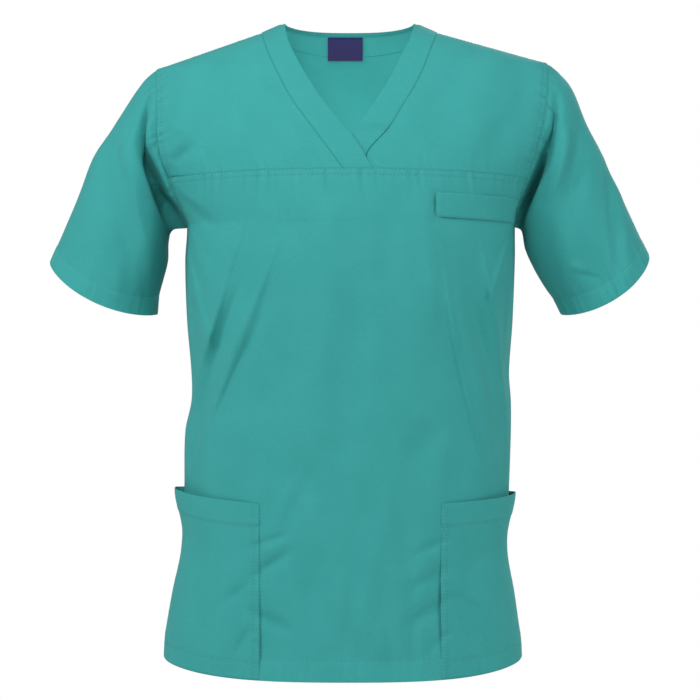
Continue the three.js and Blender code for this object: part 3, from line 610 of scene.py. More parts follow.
def ripple(along: Array, seed: float) -> Array:
    """Work out the uneven wave that sewing leaves along a seam.

    Args:
        along: Distances along the seam.
        seed: A number that sets this seam's waves apart from the others'.

    Returns:
        The wave's height, between about -1 and 1.
    """
    total = sum(
        height * np.sin(2 * np.pi * along / length + seed * (number + 1.7))
        for number, (length, height) in enumerate(PUCKER_WAVES)
    )
    even, uneven = PUCKER_SHARES
    return total / PUCKER_SUM * (even + uneven * np.sin(2 * np.pi * along / PUCKER_STRETCH + seed))


class Edge(Enum):
    """A panel's edges: the axis across them and the end they lie at."""

    RIGHT = (1, 0)
    LEFT = (1, -1)
    FOOT = (0, 0)
    TOP = (0, -1)


@dataclass(frozen=True)
class Sewing:
    """How an edge is sewn: turned down into a seam, topstitched, puckered or hemmed.

    dip is how deep the edge turns down and bury how far in from it that reaches. rows are the stitch rows'
    distances from the edge. hem is the turned cloth's width and step what it adds to the height. pucker is
    the ripples' height and reach how far they run in. Rows and ripples show between the heights low and high.
    """

    edge: Edge
    dip: float = 0.4
    rows: tuple[float, ...] = ()
    hem: float = 0.0
    step: float = 0.5
    pucker: float = 0.35
    reach: float = 13.0
    low: float = -2000.0
    high: float = 2000.0
    seed: float = 1.0
    bury: float = 1.4
    groove: float = 0.4
    groove_width: float = 0.9
    step_width: float = 1.4
    fade: float = 3.0
    smooth_edge: float = 2.5

    def relief(self, grid: Array) -> Array:
        """Work out how far the sewing lifts the cloth.

        Args:
            grid: Points of the panel.

        Returns:
            The height at each point, minus in a groove or at a turned edge.
        """
        axis, end = self.edge.value
        lines = grid if axis == 1 else grid.swapaxes(0, 1)
        away = travelled(lines) if end == 0 else travelled(lines[:, ::-1])[:, ::-1]
        rim = lines[:, 0 if end == 0 else -1]
        along = travelled(rim[None])[0][:, None]
        live = smooth(rim[:, 2], self.low - self.fade, self.low + self.fade)
        live = live * (1 - smooth(rim[:, 2], self.high - self.fade, self.high + self.fade))
        height = -self.dip * (1 - smooth(away, 0, self.bury)) * np.ones_like(live[:, None])
        for row in self.rows:
            height = height - live[:, None] * self.groove * np.exp(-(((away - row) / self.groove_width) ** 2))
        if self.hem:
            height = height + self.step * (1 - smooth(away, self.hem, self.hem + self.step_width))
        window = np.exp(-((away / self.reach) ** 2)) * smooth(away, 0, self.smooth_edge)
        height = height + live[:, None] * self.pucker * ripple(along, self.seed) * window
        return height if axis == 1 else height.swapaxes(0, 1)

    def line(self, grid: Array, normals: Array, row: float) -> tuple[Array, Array]:
        """Find a row of stitches.

        Args:
            grid: Points of the panel.
            normals: The outward directions there.
            row: The row's distance from the edge.

        Returns:
            The row's points and their outward directions.
        """
        axis, end = self.edge.value
        lines, out = (grid, normals) if axis == 1 else (grid.swapaxes(0, 1), normals.swapaxes(0, 1))
        if end == -1:
            lines, out = lines[:, ::-1], out[:, ::-1]
        far = travelled(lines)
        points, directions = (
            np.array([[np.interp(row, d, v[:, k]) for k in range(3)] for v, d in zip(values, far)])
            for values in (lines, out)
        )
        keep = (points[:, 2] > self.low) & (points[:, 2] < self.high)
        return points[keep], directions[keep]


@dataclass(frozen=True)
class Thread:
    """Sewing thread: one stitch and the space it takes, drawn about twice as thick as real thread.

    flatness is a stitch's height for its width. stand is its middle's height over the cloth, for its radius.
    """

    pitch: float = 4.1
    stitch: float = 2.3
    radius: float = 0.32
    flatness: float = 0.8
    stand: float = 0.35

    def sew(self, mesh: bpy.types.Mesh, points: Array, normals: Array, ends: float = 2.0) -> None:
        """Add a row of stitches to a mesh.

        Args:
            mesh: The mesh that gets them.
            points: Points of the row, in millimetres.
            normals: The cloth's outward directions there.
            ends: Length left free at both ends of the row.
        """
        far = travelled(points[None])[0]
        count = int((far[-1] - 2 * ends) / self.pitch)
        bm = bmesh.new()
        for i in range(count):
            middle = ends + (i + 0.5) * self.pitch
            at, start, stop, out = (
                Vector([np.interp(d, far, v[:, k]) for k in range(3)])
                for d, v in (
                    (middle, points), (middle - self.stitch / 2, points),
                    (middle + self.stitch / 2, points), (middle, normals),
                )
            )
            along = (stop - start).normalized()
            out = (out - out.dot(along) * along).normalized()
            turn = Matrix((along, out.cross(along), out)).transposed().to_4x4()
            size = Matrix.Diagonal((self.stitch / 2, self.radius, self.radius * self.flatness, 1))
            place = Matrix.Translation((at + out * self.radius * self.stand) * MM) @ Matrix.Scale(MM, 4)
            bmesh.ops.create_icosphere(bm, subdivisions=1, radius=1, matrix=place @ turn @ size)
        bm.from_mesh(mesh)
        bm.to_mesh(mesh)
        bm.free()


def to_linear(colour: str) -> tuple[float, float, float, float]:
    """Turn an sRGB hex colour to linear values with full alpha."""
    parts = [int(colour[k:k + 2], 16) / 255 for k in (1, 3, 5)]
    return (*[c / 12.92 if c <= 0.04045 else ((c + 0.055) / 1.055) ** 2.4 for c in parts], 1.0)


def add_node(tree: bpy.types.NodeTree, kind: str, settings: dict, links: dict) -> bpy.types.Node:
    """Add a node with its settings and links.

    Args:
        tree: The material's node tree.
        kind: The node's type.
        settings: Values by property name, or by input name or number.
        links: Output sockets by the input name or number that they feed.

    Returns:
        The node.
    """
    node = tree.nodes.new(kind)
    for name, value in settings.items():
        if isinstance(name, str) and hasattr(node, name):
            setattr(node, name, value)
        else:
            node.inputs[name].default_value = value
    for name, socket in links.items():
        tree.links.new(socket, node.inputs[name])
    return node


def new_material(name: str) -> tuple[bpy.types.Material, bpy.types.NodeTree, bpy.types.Node]:
    """Make a material.

    Args:
        name: The material's name.

    Returns:
        The material, its node tree and its Principled shader.
    """
    material = bpy.data.materials.new(name)
    material.use_nodes = True
    return material, material.node_tree, material.node_tree.nodes["Principled BSDF"]


def add_object(name: str, data: bpy.types.ID) -> bpy.types.Object:
    """Add an object to the scene.

    Args:
        name: The object's name.
        data: Its mesh, lamp or camera.

    Returns:
        The object.
    """
    added = bpy.data.objects.new(name, data)
    bpy.context.scene.collection.objects.link(added)
    return added


@dataclass(frozen=True)
class Poplin:
    """Plain-woven polyester and cotton poplin, piece-dyed: matt, faintly mottled, with fine slubs.

    Real poplin has a thread about every 0.3 mm. The threads are drawn every 0.95 mm, because finer ones
    don't show at this distance. The slubs are thicker stretches of a thread, drawn about 2.6 mm apart. mottle
    is how many patches of uneven dye there are to a metre.
    """

    name: str = "polycotton_poplin"
    colour: str = "#359b98"
    pale: str = "#45a6a4"
    deep: str = "#22847e"
    thread_mm: float = 0.95
    slub_mm: float = 2.6
    roughness: float = 0.86
    weave_depth: float = 0.16
    mottle: float = 26.0

    def material(self) -> bpy.types.Material:
        """Make the material: a dry teal cloth whose weave and slubs break the light up finely.

        The mottle gives the eye uneven dye. The sewing's relief makes raised seam edges paler, as rubbed
        cloth, and darkens grooves and turned seam edges by their depth, which is painted shade. The weak
        sheen gives the pale bloom of cotton fibres where the cloth turns away.

        Returns:
            The material.
        """
        material, tree, shader = new_material(self.name)
        cloth = add_node(tree, "ShaderNodeUVMap", {"uv_map": "cloth"}, {}).outputs["UV"]
        threads = []
        for direction in ("X", "Y"):
            wave = add_node(tree, "ShaderNodeTexWave", {
                "bands_direction": direction, "Scale": 2 * math.pi / 20 / (self.thread_mm * MM),
                "Distortion": 2.6, "Detail": 2.0, "Detail Scale": 0.9,
            }, {"Vector": cloth})
            threads.append(wave.outputs["Fac"])
        woven = add_node(tree, "ShaderNodeMath", {"operation": "MULTIPLY"}, {0: threads[0], 1: threads[1]})
        slubs = []
        for stretch in ((0.12, 1.0, 1.0), (1.0, 0.12, 1.0)):
            turned = add_node(tree, "ShaderNodeMapping", {"Scale": stretch}, {"Vector": cloth})
            slub = add_node(tree, "ShaderNodeTexNoise", {
                "Scale": 5 / (self.slub_mm * MM), "Detail": 3.0, "Roughness": 0.6,
            }, {"Vector": turned.outputs["Vector"]})
            slubs.append(slub.outputs["Fac"])
        slub = add_node(tree, "ShaderNodeMath", {"operation": "ADD"}, {0: slubs[0], 1: slubs[1]})
        grain = add_node(tree, "ShaderNodeMath", {"operation": "MULTIPLY_ADD", 1: 0.7}, {
            0: slub.outputs["Value"], 2: woven.outputs["Value"],
        })
        bump = add_node(tree, "ShaderNodeBump", {"Strength": 0.55, "Distance": self.weave_depth * MM}, {
            "Height": grain.outputs["Value"],
        })
        clouds = add_node(tree, "ShaderNodeTexNoise", {
            "Scale": self.mottle, "Detail": 5.0, "Roughness": 0.62,
        }, {"Vector": cloth})
        patches = add_node(tree, "ShaderNodeMapRange", {
            "From Min": 0.18, "From Max": 0.82, "To Min": 0.36, "To Max": 0.84,
        }, {"Value": clouds.outputs["Fac"]})
        dyed = add_node(tree, "ShaderNodeMix", {
            "data_type": "RGBA", 6: to_linear(self.deep), 7: to_linear(self.pale),
        }, {0: patches.outputs["Result"]})
        # The sewing's relief per point: below 1 in grooves and turned seam edges, which is painted shade, and
        # above 1 on raised edges, which are rubbed paler
        wear = add_node(tree, "ShaderNodeAttribute", {"attribute_name": "wear"}, {})
        base = add_node(tree, "ShaderNodeMix", {"data_type": "RGBA", 0: 0.62, 7: to_linear(self.colour)}, {
            6: dyed.outputs[2],
        })
        worn_and_shaded = add_node(tree, "ShaderNodeHueSaturation", {"Saturation": 1.0}, {
            "Value": wear.outputs["Fac"], "Color": base.outputs[2],
        })
        flecks = add_node(tree, "ShaderNodeMapRange", {
            "From Min": 0.6, "From Max": 1.4, "To Min": 0.9, "To Max": 1.09,
        }, {"Value": slub.outputs["Value"]})
        speck = add_node(tree, "ShaderNodeHueSaturation", {"Saturation": 1.0}, {
            "Value": flecks.outputs["Result"], "Color": worn_and_shaded.outputs["Color"],
        })
        tree.links.new(speck.outputs["Color"], shader.inputs["Base Color"])
        tree.links.new(bump.outputs["Normal"], shader.inputs["Normal"])
        shader.inputs["Roughness"].default_value = self.roughness
        shader.inputs["Specular IOR Level"].default_value = 0.25
        shader.inputs["Sheen Weight"].default_value = 0.1
        shader.inputs["Sheen Roughness"].default_value = 0.45
        shader.inputs["Sheen Tint"].default_value = to_linear("#9fd6d2")
        return material


@dataclass(frozen=True)
class WovenLabel:
    """Damask-woven polyester label ribbon: navy, blank, with a soft satin gloss and fine cross ribs.

    Real ribs are about 0.4 mm apart. They are drawn every 0.9 mm, because finer ones don't show.
    """

    name: str = "damask_woven_ribbon"
    colour: str = "#17144a"
    pale: str = "#201d5a"
    rib_mm: float = 0.9
    rib_depth: float = 0.08
    roughness: float = 0.5

    def material(self) -> bpy.types.Material:
        """Make the material, whose ribs give the eye a fine grain across the ribbon and a low gloss.

        Returns:
            The material.
        """
        material, tree, shader = new_material(self.name)
        cloth = add_node(tree, "ShaderNodeUVMap", {"uv_map": "cloth"}, {}).outputs["UV"]
        ribs = add_node(tree, "ShaderNodeTexWave", {
            "bands_direction": "Y", "Scale": 2 * math.pi / 20 / (self.rib_mm * MM), "Distortion": 0.6,
        }, {"Vector": cloth})
        colour = add_node(tree, "ShaderNodeMix", {
            "data_type": "RGBA", 6: to_linear(self.colour), 7: to_linear(self.pale),
        }, {0: ribs.outputs["Fac"]})
        bump = add_node(tree, "ShaderNodeBump", {"Strength": 0.5, "Distance": self.rib_depth * MM}, {
            "Height": ribs.outputs["Fac"],
        })
        tree.links.new(colour.outputs[2], shader.inputs["Base Color"])
        tree.links.new(bump.outputs["Normal"], shader.inputs["Normal"])
        shader.inputs["Roughness"].default_value = self.roughness
        shader.inputs["Specular IOR Level"].default_value = 0.2
        return material


@dataclass(frozen=True)
class SpunThread:
    """Spun polyester sewing thread, dyed to the cloth: slightly glossier and paler than it."""

    name: str = "spun_polyester_thread"
    colour: str = "#50b0ac"
    deep: str = "#46a5a1"
    twist_mm: float = 1.2
    roughness: float = 0.6

    def material(self) -> bpy.types.Material:
        """Make the material, whose paler tone lets each stitch show on the cloth.

        Returns:
            The material.
        """
        material, tree, shader = new_material(self.name)
        place = add_node(tree, "ShaderNodeTexCoord", {}, {}).outputs["Object"]
        twist = add_node(tree, "ShaderNodeTexNoise", {"Scale": 1 / (self.twist_mm * MM), "Detail": 2.0}, {
            "Vector": place,
        })
        colour = add_node(tree, "ShaderNodeMix", {
            "data_type": "RGBA", 6: to_linear(self.deep), 7: to_linear(self.colour),
        }, {0: twist.outputs["Fac"]})
        tree.links.new(colour.outputs[2], shader.inputs["Base Color"])
        shader.inputs["Roughness"].default_value = self.roughness
        shader.inputs["Sheen Weight"].default_value = 0.15
        return material


@dataclass(frozen=True)
class Finishes:
    """The top's finishes, made once."""

    poplin: bpy.types.Material
    label: bpy.types.Material
    thread: bpy.types.Material


@dataclass
class ClothPanel:
    """One cut piece of cloth, sewn along its edges.

    flat is the width and length it was cut to and area the cut's area in square metres. outward is the sign
    that turns the grid's own normals out of the garment. softness is its share of the drape, which fades over
    the distances ease from its edges. wall is the cloth's thickness as drawn. raised is how much paler a
    raised edge is rubbed, and the field after it how much darker a groove or a turned seam edge is painted,
    as painted shade, for a millimetre.
    """

    name: str
    slot: str = "poplin"
    flat: tuple[float, float] = (0.3, 0.3)
    area: float = 0.09
    sewing: tuple[Sewing, ...] = ()
    columns: Spacing = Spacing()
    rows: Spacing = Spacing()
    outward: int = 1
    wall: float = 1.1
    is_ring: bool = False
    softness: float = 1.0
    ease: tuple[float, float] = (2, 34)
    raised: float = 0.08
    groove_shade: float = 0.16
    thread: Thread = Thread()

    def form(self) -> Array:
        """Return a dense grid of the panel's middle surface."""
        raise NotImplementedError

    def creases(self, grid: Array) -> Array:
        """Return the height of creases that the panel has of its own."""
        return np.zeros(grid.shape[:2])

    def lift(self, grid: Array) -> Array:
        """Return how far the outer face stands off the form."""
        return np.full(grid.shape[:2], OUT)

    def normals(self, grid: Array) -> Array:
        """Work out the outward directions.

        Args:
            grid: Points of the panel.

        Returns:
            The direction of unit length at every point.
        """
        if self.is_ring:
            wrapped = np.concatenate([grid[:, -2:-1], grid, grid[:, 1:2]], axis=1)
            along = wrapped[:, 2:] - wrapped[:, :-2]
        else:
            along = np.gradient(grid, axis=1)
        out = np.cross(along, np.gradient(grid, axis=0)) * self.outward
        return out / np.maximum(np.linalg.norm(out, axis=-1, keepdims=True), 1e-9)

    def away(self, grid: Array) -> list[Array]:
        """Measure how far every point lies from the panel's edges.

        Args:
            grid: Points of the panel.

        Returns:
            One grid of distances for each edge, without the two that a ring closes.
        """
        ends = []
        for lines, is_across in ((grid, True), (grid.swapaxes(0, 1), False)):
            if is_across and self.is_ring:
                continue
            near, far = travelled(lines), travelled(lines[:, ::-1])[:, ::-1]
            ends += [away if is_across else away.swapaxes(0, 1) for away in (near, far)]
        return ends

    def surface(self) -> tuple[Array, Array, Array]:
        """Work out the outer face.

        Returns:
            Its grid, its outward directions and the sewing's relief.
        """
        grid = respace(respace(self.form(), self.columns, 1), self.rows, 0)
        normals = self.normals(grid)
        relief = sum((sewing.relief(grid) for sewing in self.sewing), np.zeros(grid.shape[:2]))
        ease = np.minimum.reduce([smooth(away, *self.ease) for away in self.away(grid)])
        waves = self.softness * ease * drape(grid[..., 0], grid[..., 2])
        height = self.lift(grid) + relief + self.creases(grid) + waves
        outer = grid + normals * height[..., None]
        return outer, self.normals(outer), relief

    def build(self, finishes: Finishes) -> bpy.types.Object:
        """Make the panel, dress it and add its stitches.

        Args:
            finishes: The top's finishes.

        Returns:
            The panel's object.
        """
        outer, normals, relief = self.surface()
        panel = self.shell(outer, relief)
        panel.data.materials.append(finishes.label if self.slot == "label" else finishes.poplin)
        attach(panel, "root")
        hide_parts(self.name)
        stitches = self.stitches(outer, normals, finishes)
        log.info("%s: %d x %d points, %d stitch meshes", self.name, *outer.shape[:2], len(stitches))
        return panel

    def shell(self, outer: Array, relief: Array) -> bpy.types.Object:
        """Make the closed shell of cloth behind its outer face.

        Args:
            outer: Points of the outer face.
            relief: The sewing's relief there, which sets the wear.

        Returns:
            The panel's object.
        """
        rows, columns = outer.shape[:2]
        bm = bmesh.new()
        bmesh.ops.create_grid(bm, x_segments=columns - 1, y_segments=rows - 1, size=1)
        bm.verts.ensure_lookup_table()
        wear = bm.verts.layers.float.new("wear")
        index = bm.verts.layers.int.new("index")
        flat_x = travelled(outer).mean(axis=0)
        flat_z = travelled(outer.swapaxes(0, 1)).mean(axis=0)
        for vert in bm.verts:
            j = round((vert.co.x + 1) / 2 * (columns - 1))
            k = round((vert.co.y + 1) / 2 * (rows - 1))
            vert[index] = k * columns + j
            height = float(relief[k, j])
            # Painted shade: grooves and turned seam edges darken the colour by their depth, and raised edges
            # are rubbed paler
            vert[wear] = 1 + min(height, 0) * self.groove_shade + max(height, 0) * self.raised
            vert.co = Vector(outer[k, j]) * MM
        uv = bm.loops.layers.uv.new("cloth")
        for face in bm.faces:
            for loop in face.loops:
                k, j = divmod(loop.vert[index], columns)
                loop[uv].uv = (flat_x[j] * MM, flat_z[k] * MM)
            face.smooth = True
        if self.outward < 0:
            bmesh.ops.reverse_faces(bm, faces=bm.faces[:])
        bmesh.ops.remove_doubles(bm, verts=bm.verts[:], dist=0.01 * MM)
        for edge in bm.edges:
            edge.smooth = not edge.is_boundary
        mesh = bpy.data.meshes.new(self.name + "_cloth")
        bm.to_mesh(mesh)
        bm.free()
        panel = add_object(self.name + "_cloth", mesh)
        wall = panel.modifiers.new("wall", "SOLIDIFY")
        wall.thickness, wall.offset = self.wall * MM, -1
        return panel

    def rows_of_stitches(self, outer: Array, normals: Array) -> list[tuple[Array, Array]]:
        """Return the rows of stitches that the sewing gives."""
        return [sewing.line(outer, normals, row) for sewing in self.sewing for row in sewing.rows]

    def stitches(self, outer: Array, normals: Array, finishes: Finishes) -> list[bpy.types.Object]:
        """Sew the panel's rows of stitches into one piece.

        Args:
            outer: Points of the outer face.
            normals: The outward directions there.
            finishes: The top's finishes.

        Returns:
            The piece, or nothing where the panel has no rows.
        """
        rows = [row for row in self.rows_of_stitches(outer, normals) if len(row[0]) > 1]
        if not rows:
            return []
        mesh = bpy.data.meshes.new(self.name + "_stitches")
        for points, directions in rows:
            self.thread.sew(mesh, points, directions)
        mesh.shade_smooth()
        mesh.materials.append(finishes.thread)
        piece = add_object(self.name + "_stitches", mesh)
        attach(piece, "root")
        return [piece]


class FrontBody(ClothPanel):
    """The front body: one piece from the hem to the yoke seam, side seam to side seam."""

    def form(self) -> Array:
        """Join the lower part, which ends at the side seams, to the part between the armholes.

        Returns:
            The panel's grid.
        """
        across = np.linspace(-1, 1, DENSE)[None]
        heights = np.linspace(DEPTHS[0, 0], TORSO.right.foot, DENSE)[:, None]
        lower = TORSO.point(True, across, heights)
        foot = lower[-1]
        arms = [
            hole.point(np.linspace(-90, float(hole.front_angle(YOKE_SIDE)), DENSE // 4))
            for hole in (TORSO.right, TORSO.left)
        ]
        share = (foot[:, 0] - foot[0, 0]) / (foot[-1, 0] - foot[0, 0])
        x = lerp(arms[0][-1, 0], arms[1][-1, 0], share)
        top = TORSO.laid(True, x, TORSO.yoke_height(x))
        top[0], top[-1] = arms[0][-1], arms[1][-1]
        foot[-1] = arms[1][0]
        upper = lay_on_torso(True, foot, top, arms[0], arms[1])
        return np.concatenate([lower, upper[1:]])


@dataclass
class FrontYoke(ClothPanel):
    """A front yoke: from the yoke seam to the shoulder seam, beside the neck band."""

    hole: Armhole = TORSO.right
    band: Array = field(default_factory=lambda: BAND_RIGHT)

    def form(self) -> Array:
        """Fill in between the armhole, the yoke seam, the band and the shoulder seam.

        Returns:
            The panel's grid.
        """
        low, high = float(self.hole.front_angle(YOKE_SIDE)), self.hole.seam_angle()
        arm = self.hole.point(np.linspace(low, high, DENSE))
        neck = band_edge(self.band, True, DENSE)
        right, left = (arm, neck) if self.hole.side is Side.RIGHT else (neck, arm)
        foot = TORSO.yoke_seam(right[0, 0], left[0, 0], DENSE)
        foot[0], foot[-1] = right[0], left[0]
        share = ((foot[:, 0] - foot[0, 0]) / (foot[-1, 0] - foot[0, 0]))[:, None]
        top = lerp(right[-1], left[-1], share)
        return lay_on_torso(True, foot, top, right, left)

    def creases(self, grid: Array) -> Array:
        """Return the soft creases that spread from the armhole and the seams."""
        return fold_height(YOKE_CREASES, grid[..., 0], grid[..., 2])


class BackPanel(ClothPanel):
    """The back: one plain piece from the hem to the shoulder seams and the neck seam."""

    def form(self) -> Array:
        """Carry the back over the shoulder ridges to the seams in front of them.

        Returns:
            The panel's grid.
        """
        side = np.arcsin(np.linspace(1, BACK_SHARE, DENSE // 2)) / (np.pi / 2)
        neck_across = np.linspace(-side[-1], side[-1], DENSE // 2 + 2)[1:-1]
        across = np.concatenate([-side, neck_across, side[::-1]])
        heights = np.linspace(DEPTHS[0, 0], TORSO.right.foot, DENSE)[:, None]
        lower = TORSO.point(False, across[None], heights)
        foot = lower[-1]
        arms = [hole.point(np.linspace(270, 90, DENSE // 2)) for hole in (TORSO.right, TORSO.left)]
        foot[-1] = arms[1][0]
        neck = back_neck(True, DENSE // 2)
        share = np.linspace(0, 1, DENSE // 2)[:, None]
        seams, ridges = [], []
        for hole in (TORSO.right, TORSO.left):
            for is_seam, found in ((True, seams), (False, ridges)):
                tip, end = hole.shoulder_line(is_seam)[:2]
                found.append(lerp(tip, end, share))
        for ridge in ridges:
            z = ridge[:, 2] - RIDGE_DROP * share[:, 0]
            ridge[1:] = TORSO.laid(False, ridge[:, 0], z)[1:]
        neck_ridge = TORSO.laid(False, neck[:, 0] * NECK_INSET, neck[:, 2] - NECK_DROP)
        ridge = np.concatenate([ridges[0], neck_ridge, ridges[1][::-1]])
        seam = np.concatenate([seams[0], neck, seams[1][::-1]])
        upper = lay_on_torso(False, foot, ridge, arms[0], arms[1])
        over = [lerp(ridge, seam, f) for f in np.linspace(0, 1, 9)[1:]]
        return np.concatenate([lower, upper[1:], np.array(over)])


@dataclass
class Sleeve(ClothPanel):
    """A short set-in sleeve: a tube from the armhole to the hemmed cuff.

    The tube fits the armhole's seam over the share blend of its length. Its folds fade over the distances
    turn from its outline in the front view and over sewn from the seam, and back is their share behind.
    """

    hole: Armhole = TORSO.right
    table: Array = field(default_factory=lambda: SLEEVE_RIGHT)
    folds: tuple = ()
    is_ring: bool = True
    blend: float = 0.4
    turn: tuple[float, float] = (2, 18)
    sewn: float = 7.0
    back: float = 0.7

    def ring(self, t: Array, degrees: Array) -> Array:
        """Work out points of the tube.

        Args:
            t: Places along it, from 0 at the armhole to 1 at the cuff.
            degrees: Angles round it.

        Returns:
            The tube's points.
        """
        angle = np.radians(degrees)
        outer_x, outer_z, inner_x, inner_z, front, back = (read(self.table, k, t) for k in range(1, 7))
        outer = np.stack([outer_x, 0 * t, outer_z], axis=-1)
        inner = np.stack([inner_x, 0 * t, inner_z], axis=-1)
        is_front = np.cos(angle) > 0
        depth = np.where(is_front, front, back)
        reach = np.where(is_front, CUFF_DROOP[0], CUFF_DROOP[1])
        droop = reach * np.abs(np.cos(angle)) ** CUFF_DROOP[2]
        axis = outer - inner
        axis = axis / np.linalg.norm(axis, axis=-1, keepdims=True)
        along = np.cross(axis, np.array([0.0, -self.hole.sign, 0.0]))
        points = lerp(inner, outer, ((1 + np.sin(angle)) / 2)[..., None])
        points[..., 1] -= depth * np.cos(angle)
        return points + along * (droop * t * t)[..., None]

    def form(self) -> Array:
        """Fit the tube to the armhole seam.

        Returns:
            The panel's grid, along the sleeve and round it.
        """
        degrees, t = np.meshgrid(np.linspace(-90, 270, DENSE), np.linspace(0, 1, DENSE))
        fit = self.hole.point(degrees[0]) - self.ring(t[0] * 0, degrees[0])
        ease = 1 - smooth(t, 0, self.blend)
        return self.ring(t, degrees) + fit[None] * ease[..., None]

    def creases(self, grid: Array) -> Array:
        """Work out the sleeve's folds, which fade towards its outline in the front view.

        Args:
            grid: Points of the panel.

        Returns:
            The folds' height at each point.
        """
        middle = grid[:, :-1].mean(axis=1)[:, None, 1]
        half = np.abs(grid[..., 1] - middle)
        facing = smooth(half, *self.turn)
        front = np.where(grid[..., 1] < middle, 1.0, self.back)
        sewn = smooth(travelled(grid.swapaxes(0, 1)).swapaxes(0, 1), 0, self.sewn)
        return fold_height(self.folds, grid[..., 0], grid[..., 2]) * facing * front * sewn


@dataclass
class FrontBand(ClothPanel):
    """A front half of the neck band, doubled cloth from the yoke seam to the shoulder seam.

    The half that lies under goes back by the distance under, from the height crossing and over fade below it.
    """

    band: Array = field(default_factory=lambda: BAND_RIGHT)
    is_under: bool = False
    under: float = 2.4
    crossing: float = -97.0
    fade: float = 12.0

    def form(self) -> Array:
        """Lay the band between its two edges.

        Returns:
            The panel's grid, from its right edge to its left.
        """
        outer, inner = (band_edge(self.band, is_outer, DENSE) for is_outer in (True, False))
        share = np.linspace(0, 1, BAND_POINTS)[None, :, None]
        grid = lerp(outer[:, None], inner[:, None], share)
        grid[1:-1, 1:, 1] = TORSO.y(True, grid[1:-1, 1:, 0], grid[1:-1, 1:, 2])
        if self.is_under:
            grid[..., 1] += self.under * smooth(self.crossing - grid[..., 2], 0, self.fade)
        return grid if self.band[0, 1] < 0 else grid[:, ::-1]


class BackBand(ClothPanel):
    """The back of the neck band, round the back neck from shoulder seam to shoulder seam."""

    def form(self) -> Array:
        """Lay the band round the back neck and on to both shoulder seams.

        Returns:
            The panel's grid, from the neck seam up to the neck's edge.
        """
        seam, edge = back_neck(True, DENSE), back_neck(False, DENSE)
        start, stop = (hole.shoulder_line(True) for hole in (TORSO.right, TORSO.left))
        share = np.linspace(0, 1, BAND_POINTS)[:, None, None]
        grid = lerp(seam[None], edge[None], share)
        grid[1:-1, 8:-8, 1] = TORSO.y(False, grid[1:-1, 8:-8, 0], grid[1:-1, 8:-8, 2])
        reach = np.linspace(0, 1, 12)[None, :-1, None]
        first = lerp(lerp(start[1], start[2], share), grid[:, :1], reach)
        last = lerp(grid[:, -1:], lerp(stop[1], stop[2], share), reach + 1 / 11)
        return np.concatenate([first, grid, last], axis=1)


@dataclass
class PatchPocket(ClothPanel):
    """A lower patch pocket: sewn at its inner edge, the side seam and the hem, open at the top.

    inner is its inner edge's place across, and top and top_outer its mouth's heights. The outer top corner
    stands off by gape, over gape_depth down from the mouth and between the shares gape_span across. band is
    the turned cloth's width at the mouth and band_step its height. From the share tuck_from the pocket sinks
    by tuck into the side seam. stop is the outer edge's place across.
    """

    side: Side = Side.RIGHT
    inner: float = 97.0
    top: float = -515.0
    top_outer: float = -503.0
    gape: float = 9.0
    band: float = 25.0
    gape_depth: float = 54.0
    gape_span: tuple[float, float] = (0.1, 0.93)
    band_step: float = 0.6
    tuck: float = 0.6
    tuck_from: float = 0.95
    stop: float = 0.997

    def form(self) -> Array:
        """Lay the pocket on the front body's form.

        Returns:
            The panel's grid.
        """
        share = np.linspace(0, 1, DENSE)[None]
        outward = 1 - share if self.side is Side.RIGHT else share
        rise = np.linspace(0, 1, DENSE)[:, None]
        low = DEPTHS[0, 0] + 0.8
        z = lerp(low, lerp(self.top, self.top_outer, outward), rise)
        edge = np.abs(TORSO.edge_x(True, np.full(z.shape, self.side.value), z))
        start = np.arcsin(np.clip(self.inner / edge, 0, 1)) / (np.pi / 2)
        across = lerp(start, self.stop, outward) * self.side.value
        return TORSO.point(True, across, z)

    def lift(self, grid: Array) -> Array:
        """Work out the pocket's height over the body, greatest at the gaping outer top corner.

        Args:
            grid: Points of the panel.

        Returns:
            The height at each point.
        """
        rows, columns = grid.shape[:2]
        share = np.linspace(0, 1, columns)[None]
        outward = 1 - share if self.side is Side.RIGHT else share
        down = travelled(grid.swapaxes(0, 1)[:, ::-1])[:, ::-1].swapaxes(0, 1)
        open_share = 1 - smooth(down, 0, self.gape_depth)
        low, high = self.gape_span
        gape = self.gape * open_share * smooth(outward, low, high) * (1 - smooth(outward, high, 1.0))
        height = OUT + LAID + gape + self.band_step * (1 - smooth(down, self.band, self.band + 1.2))
        return lerp(height, OUT - self.tuck, smooth(outward, self.tuck_from, 1))


@dataclass
class ChestWelt(ClothPanel):
    """The chest pocket's welt, from its inner end to the armhole.

    top is the height of its inner top corner and slope how far it sinks from there. stop is its outer end's
    place, for the torso's edge.
    """

    inner: float = 94.0
    top: float = -175.5
    slope: float = -3.0
    depth: float = 28.0
    stop: float = 0.982

    def form(self) -> Array:
        """Lay the welt on the front body's form.

        Returns:
            The panel's grid.
        """
        share = np.linspace(0, 1, DENSE)[None]
        rise = np.linspace(0, 1, 40)[:, None]
        z = self.top + self.slope * share - self.depth * (1 - rise)
        edge = TORSO.edge_x(True, np.ones(z.shape), z)
        x = lerp(np.full(z.shape, self.inner), edge * self.stop, share)
        return TORSO.laid(True, x, z)

    def lift(self, grid: Array) -> Array:
        """Return the welt's height over the body."""
        return np.full(grid.shape[:2], OUT + LAID)


@dataclass
class NeckLabel(ClothPanel):
    """The blank label inside the back neck, between two places across and two heights."""

    across: tuple[float, float] = (-25.5, 15.5)
    heights: tuple[float, float] = (-8.2, 17.6)
    inside: float = 2.2

    def form(self) -> Array:
        """Return the label's grid on the inside of the back neck."""
        x, z = np.meshgrid(np.linspace(*self.across, 60), np.linspace(*self.heights, 40))
        return TORSO.laid(False, x, z)

    def lift(self, grid: Array) -> Array:
        """Return how far the label stands inside the neck."""
        return np.full(grid.shape[:2], self.inside)


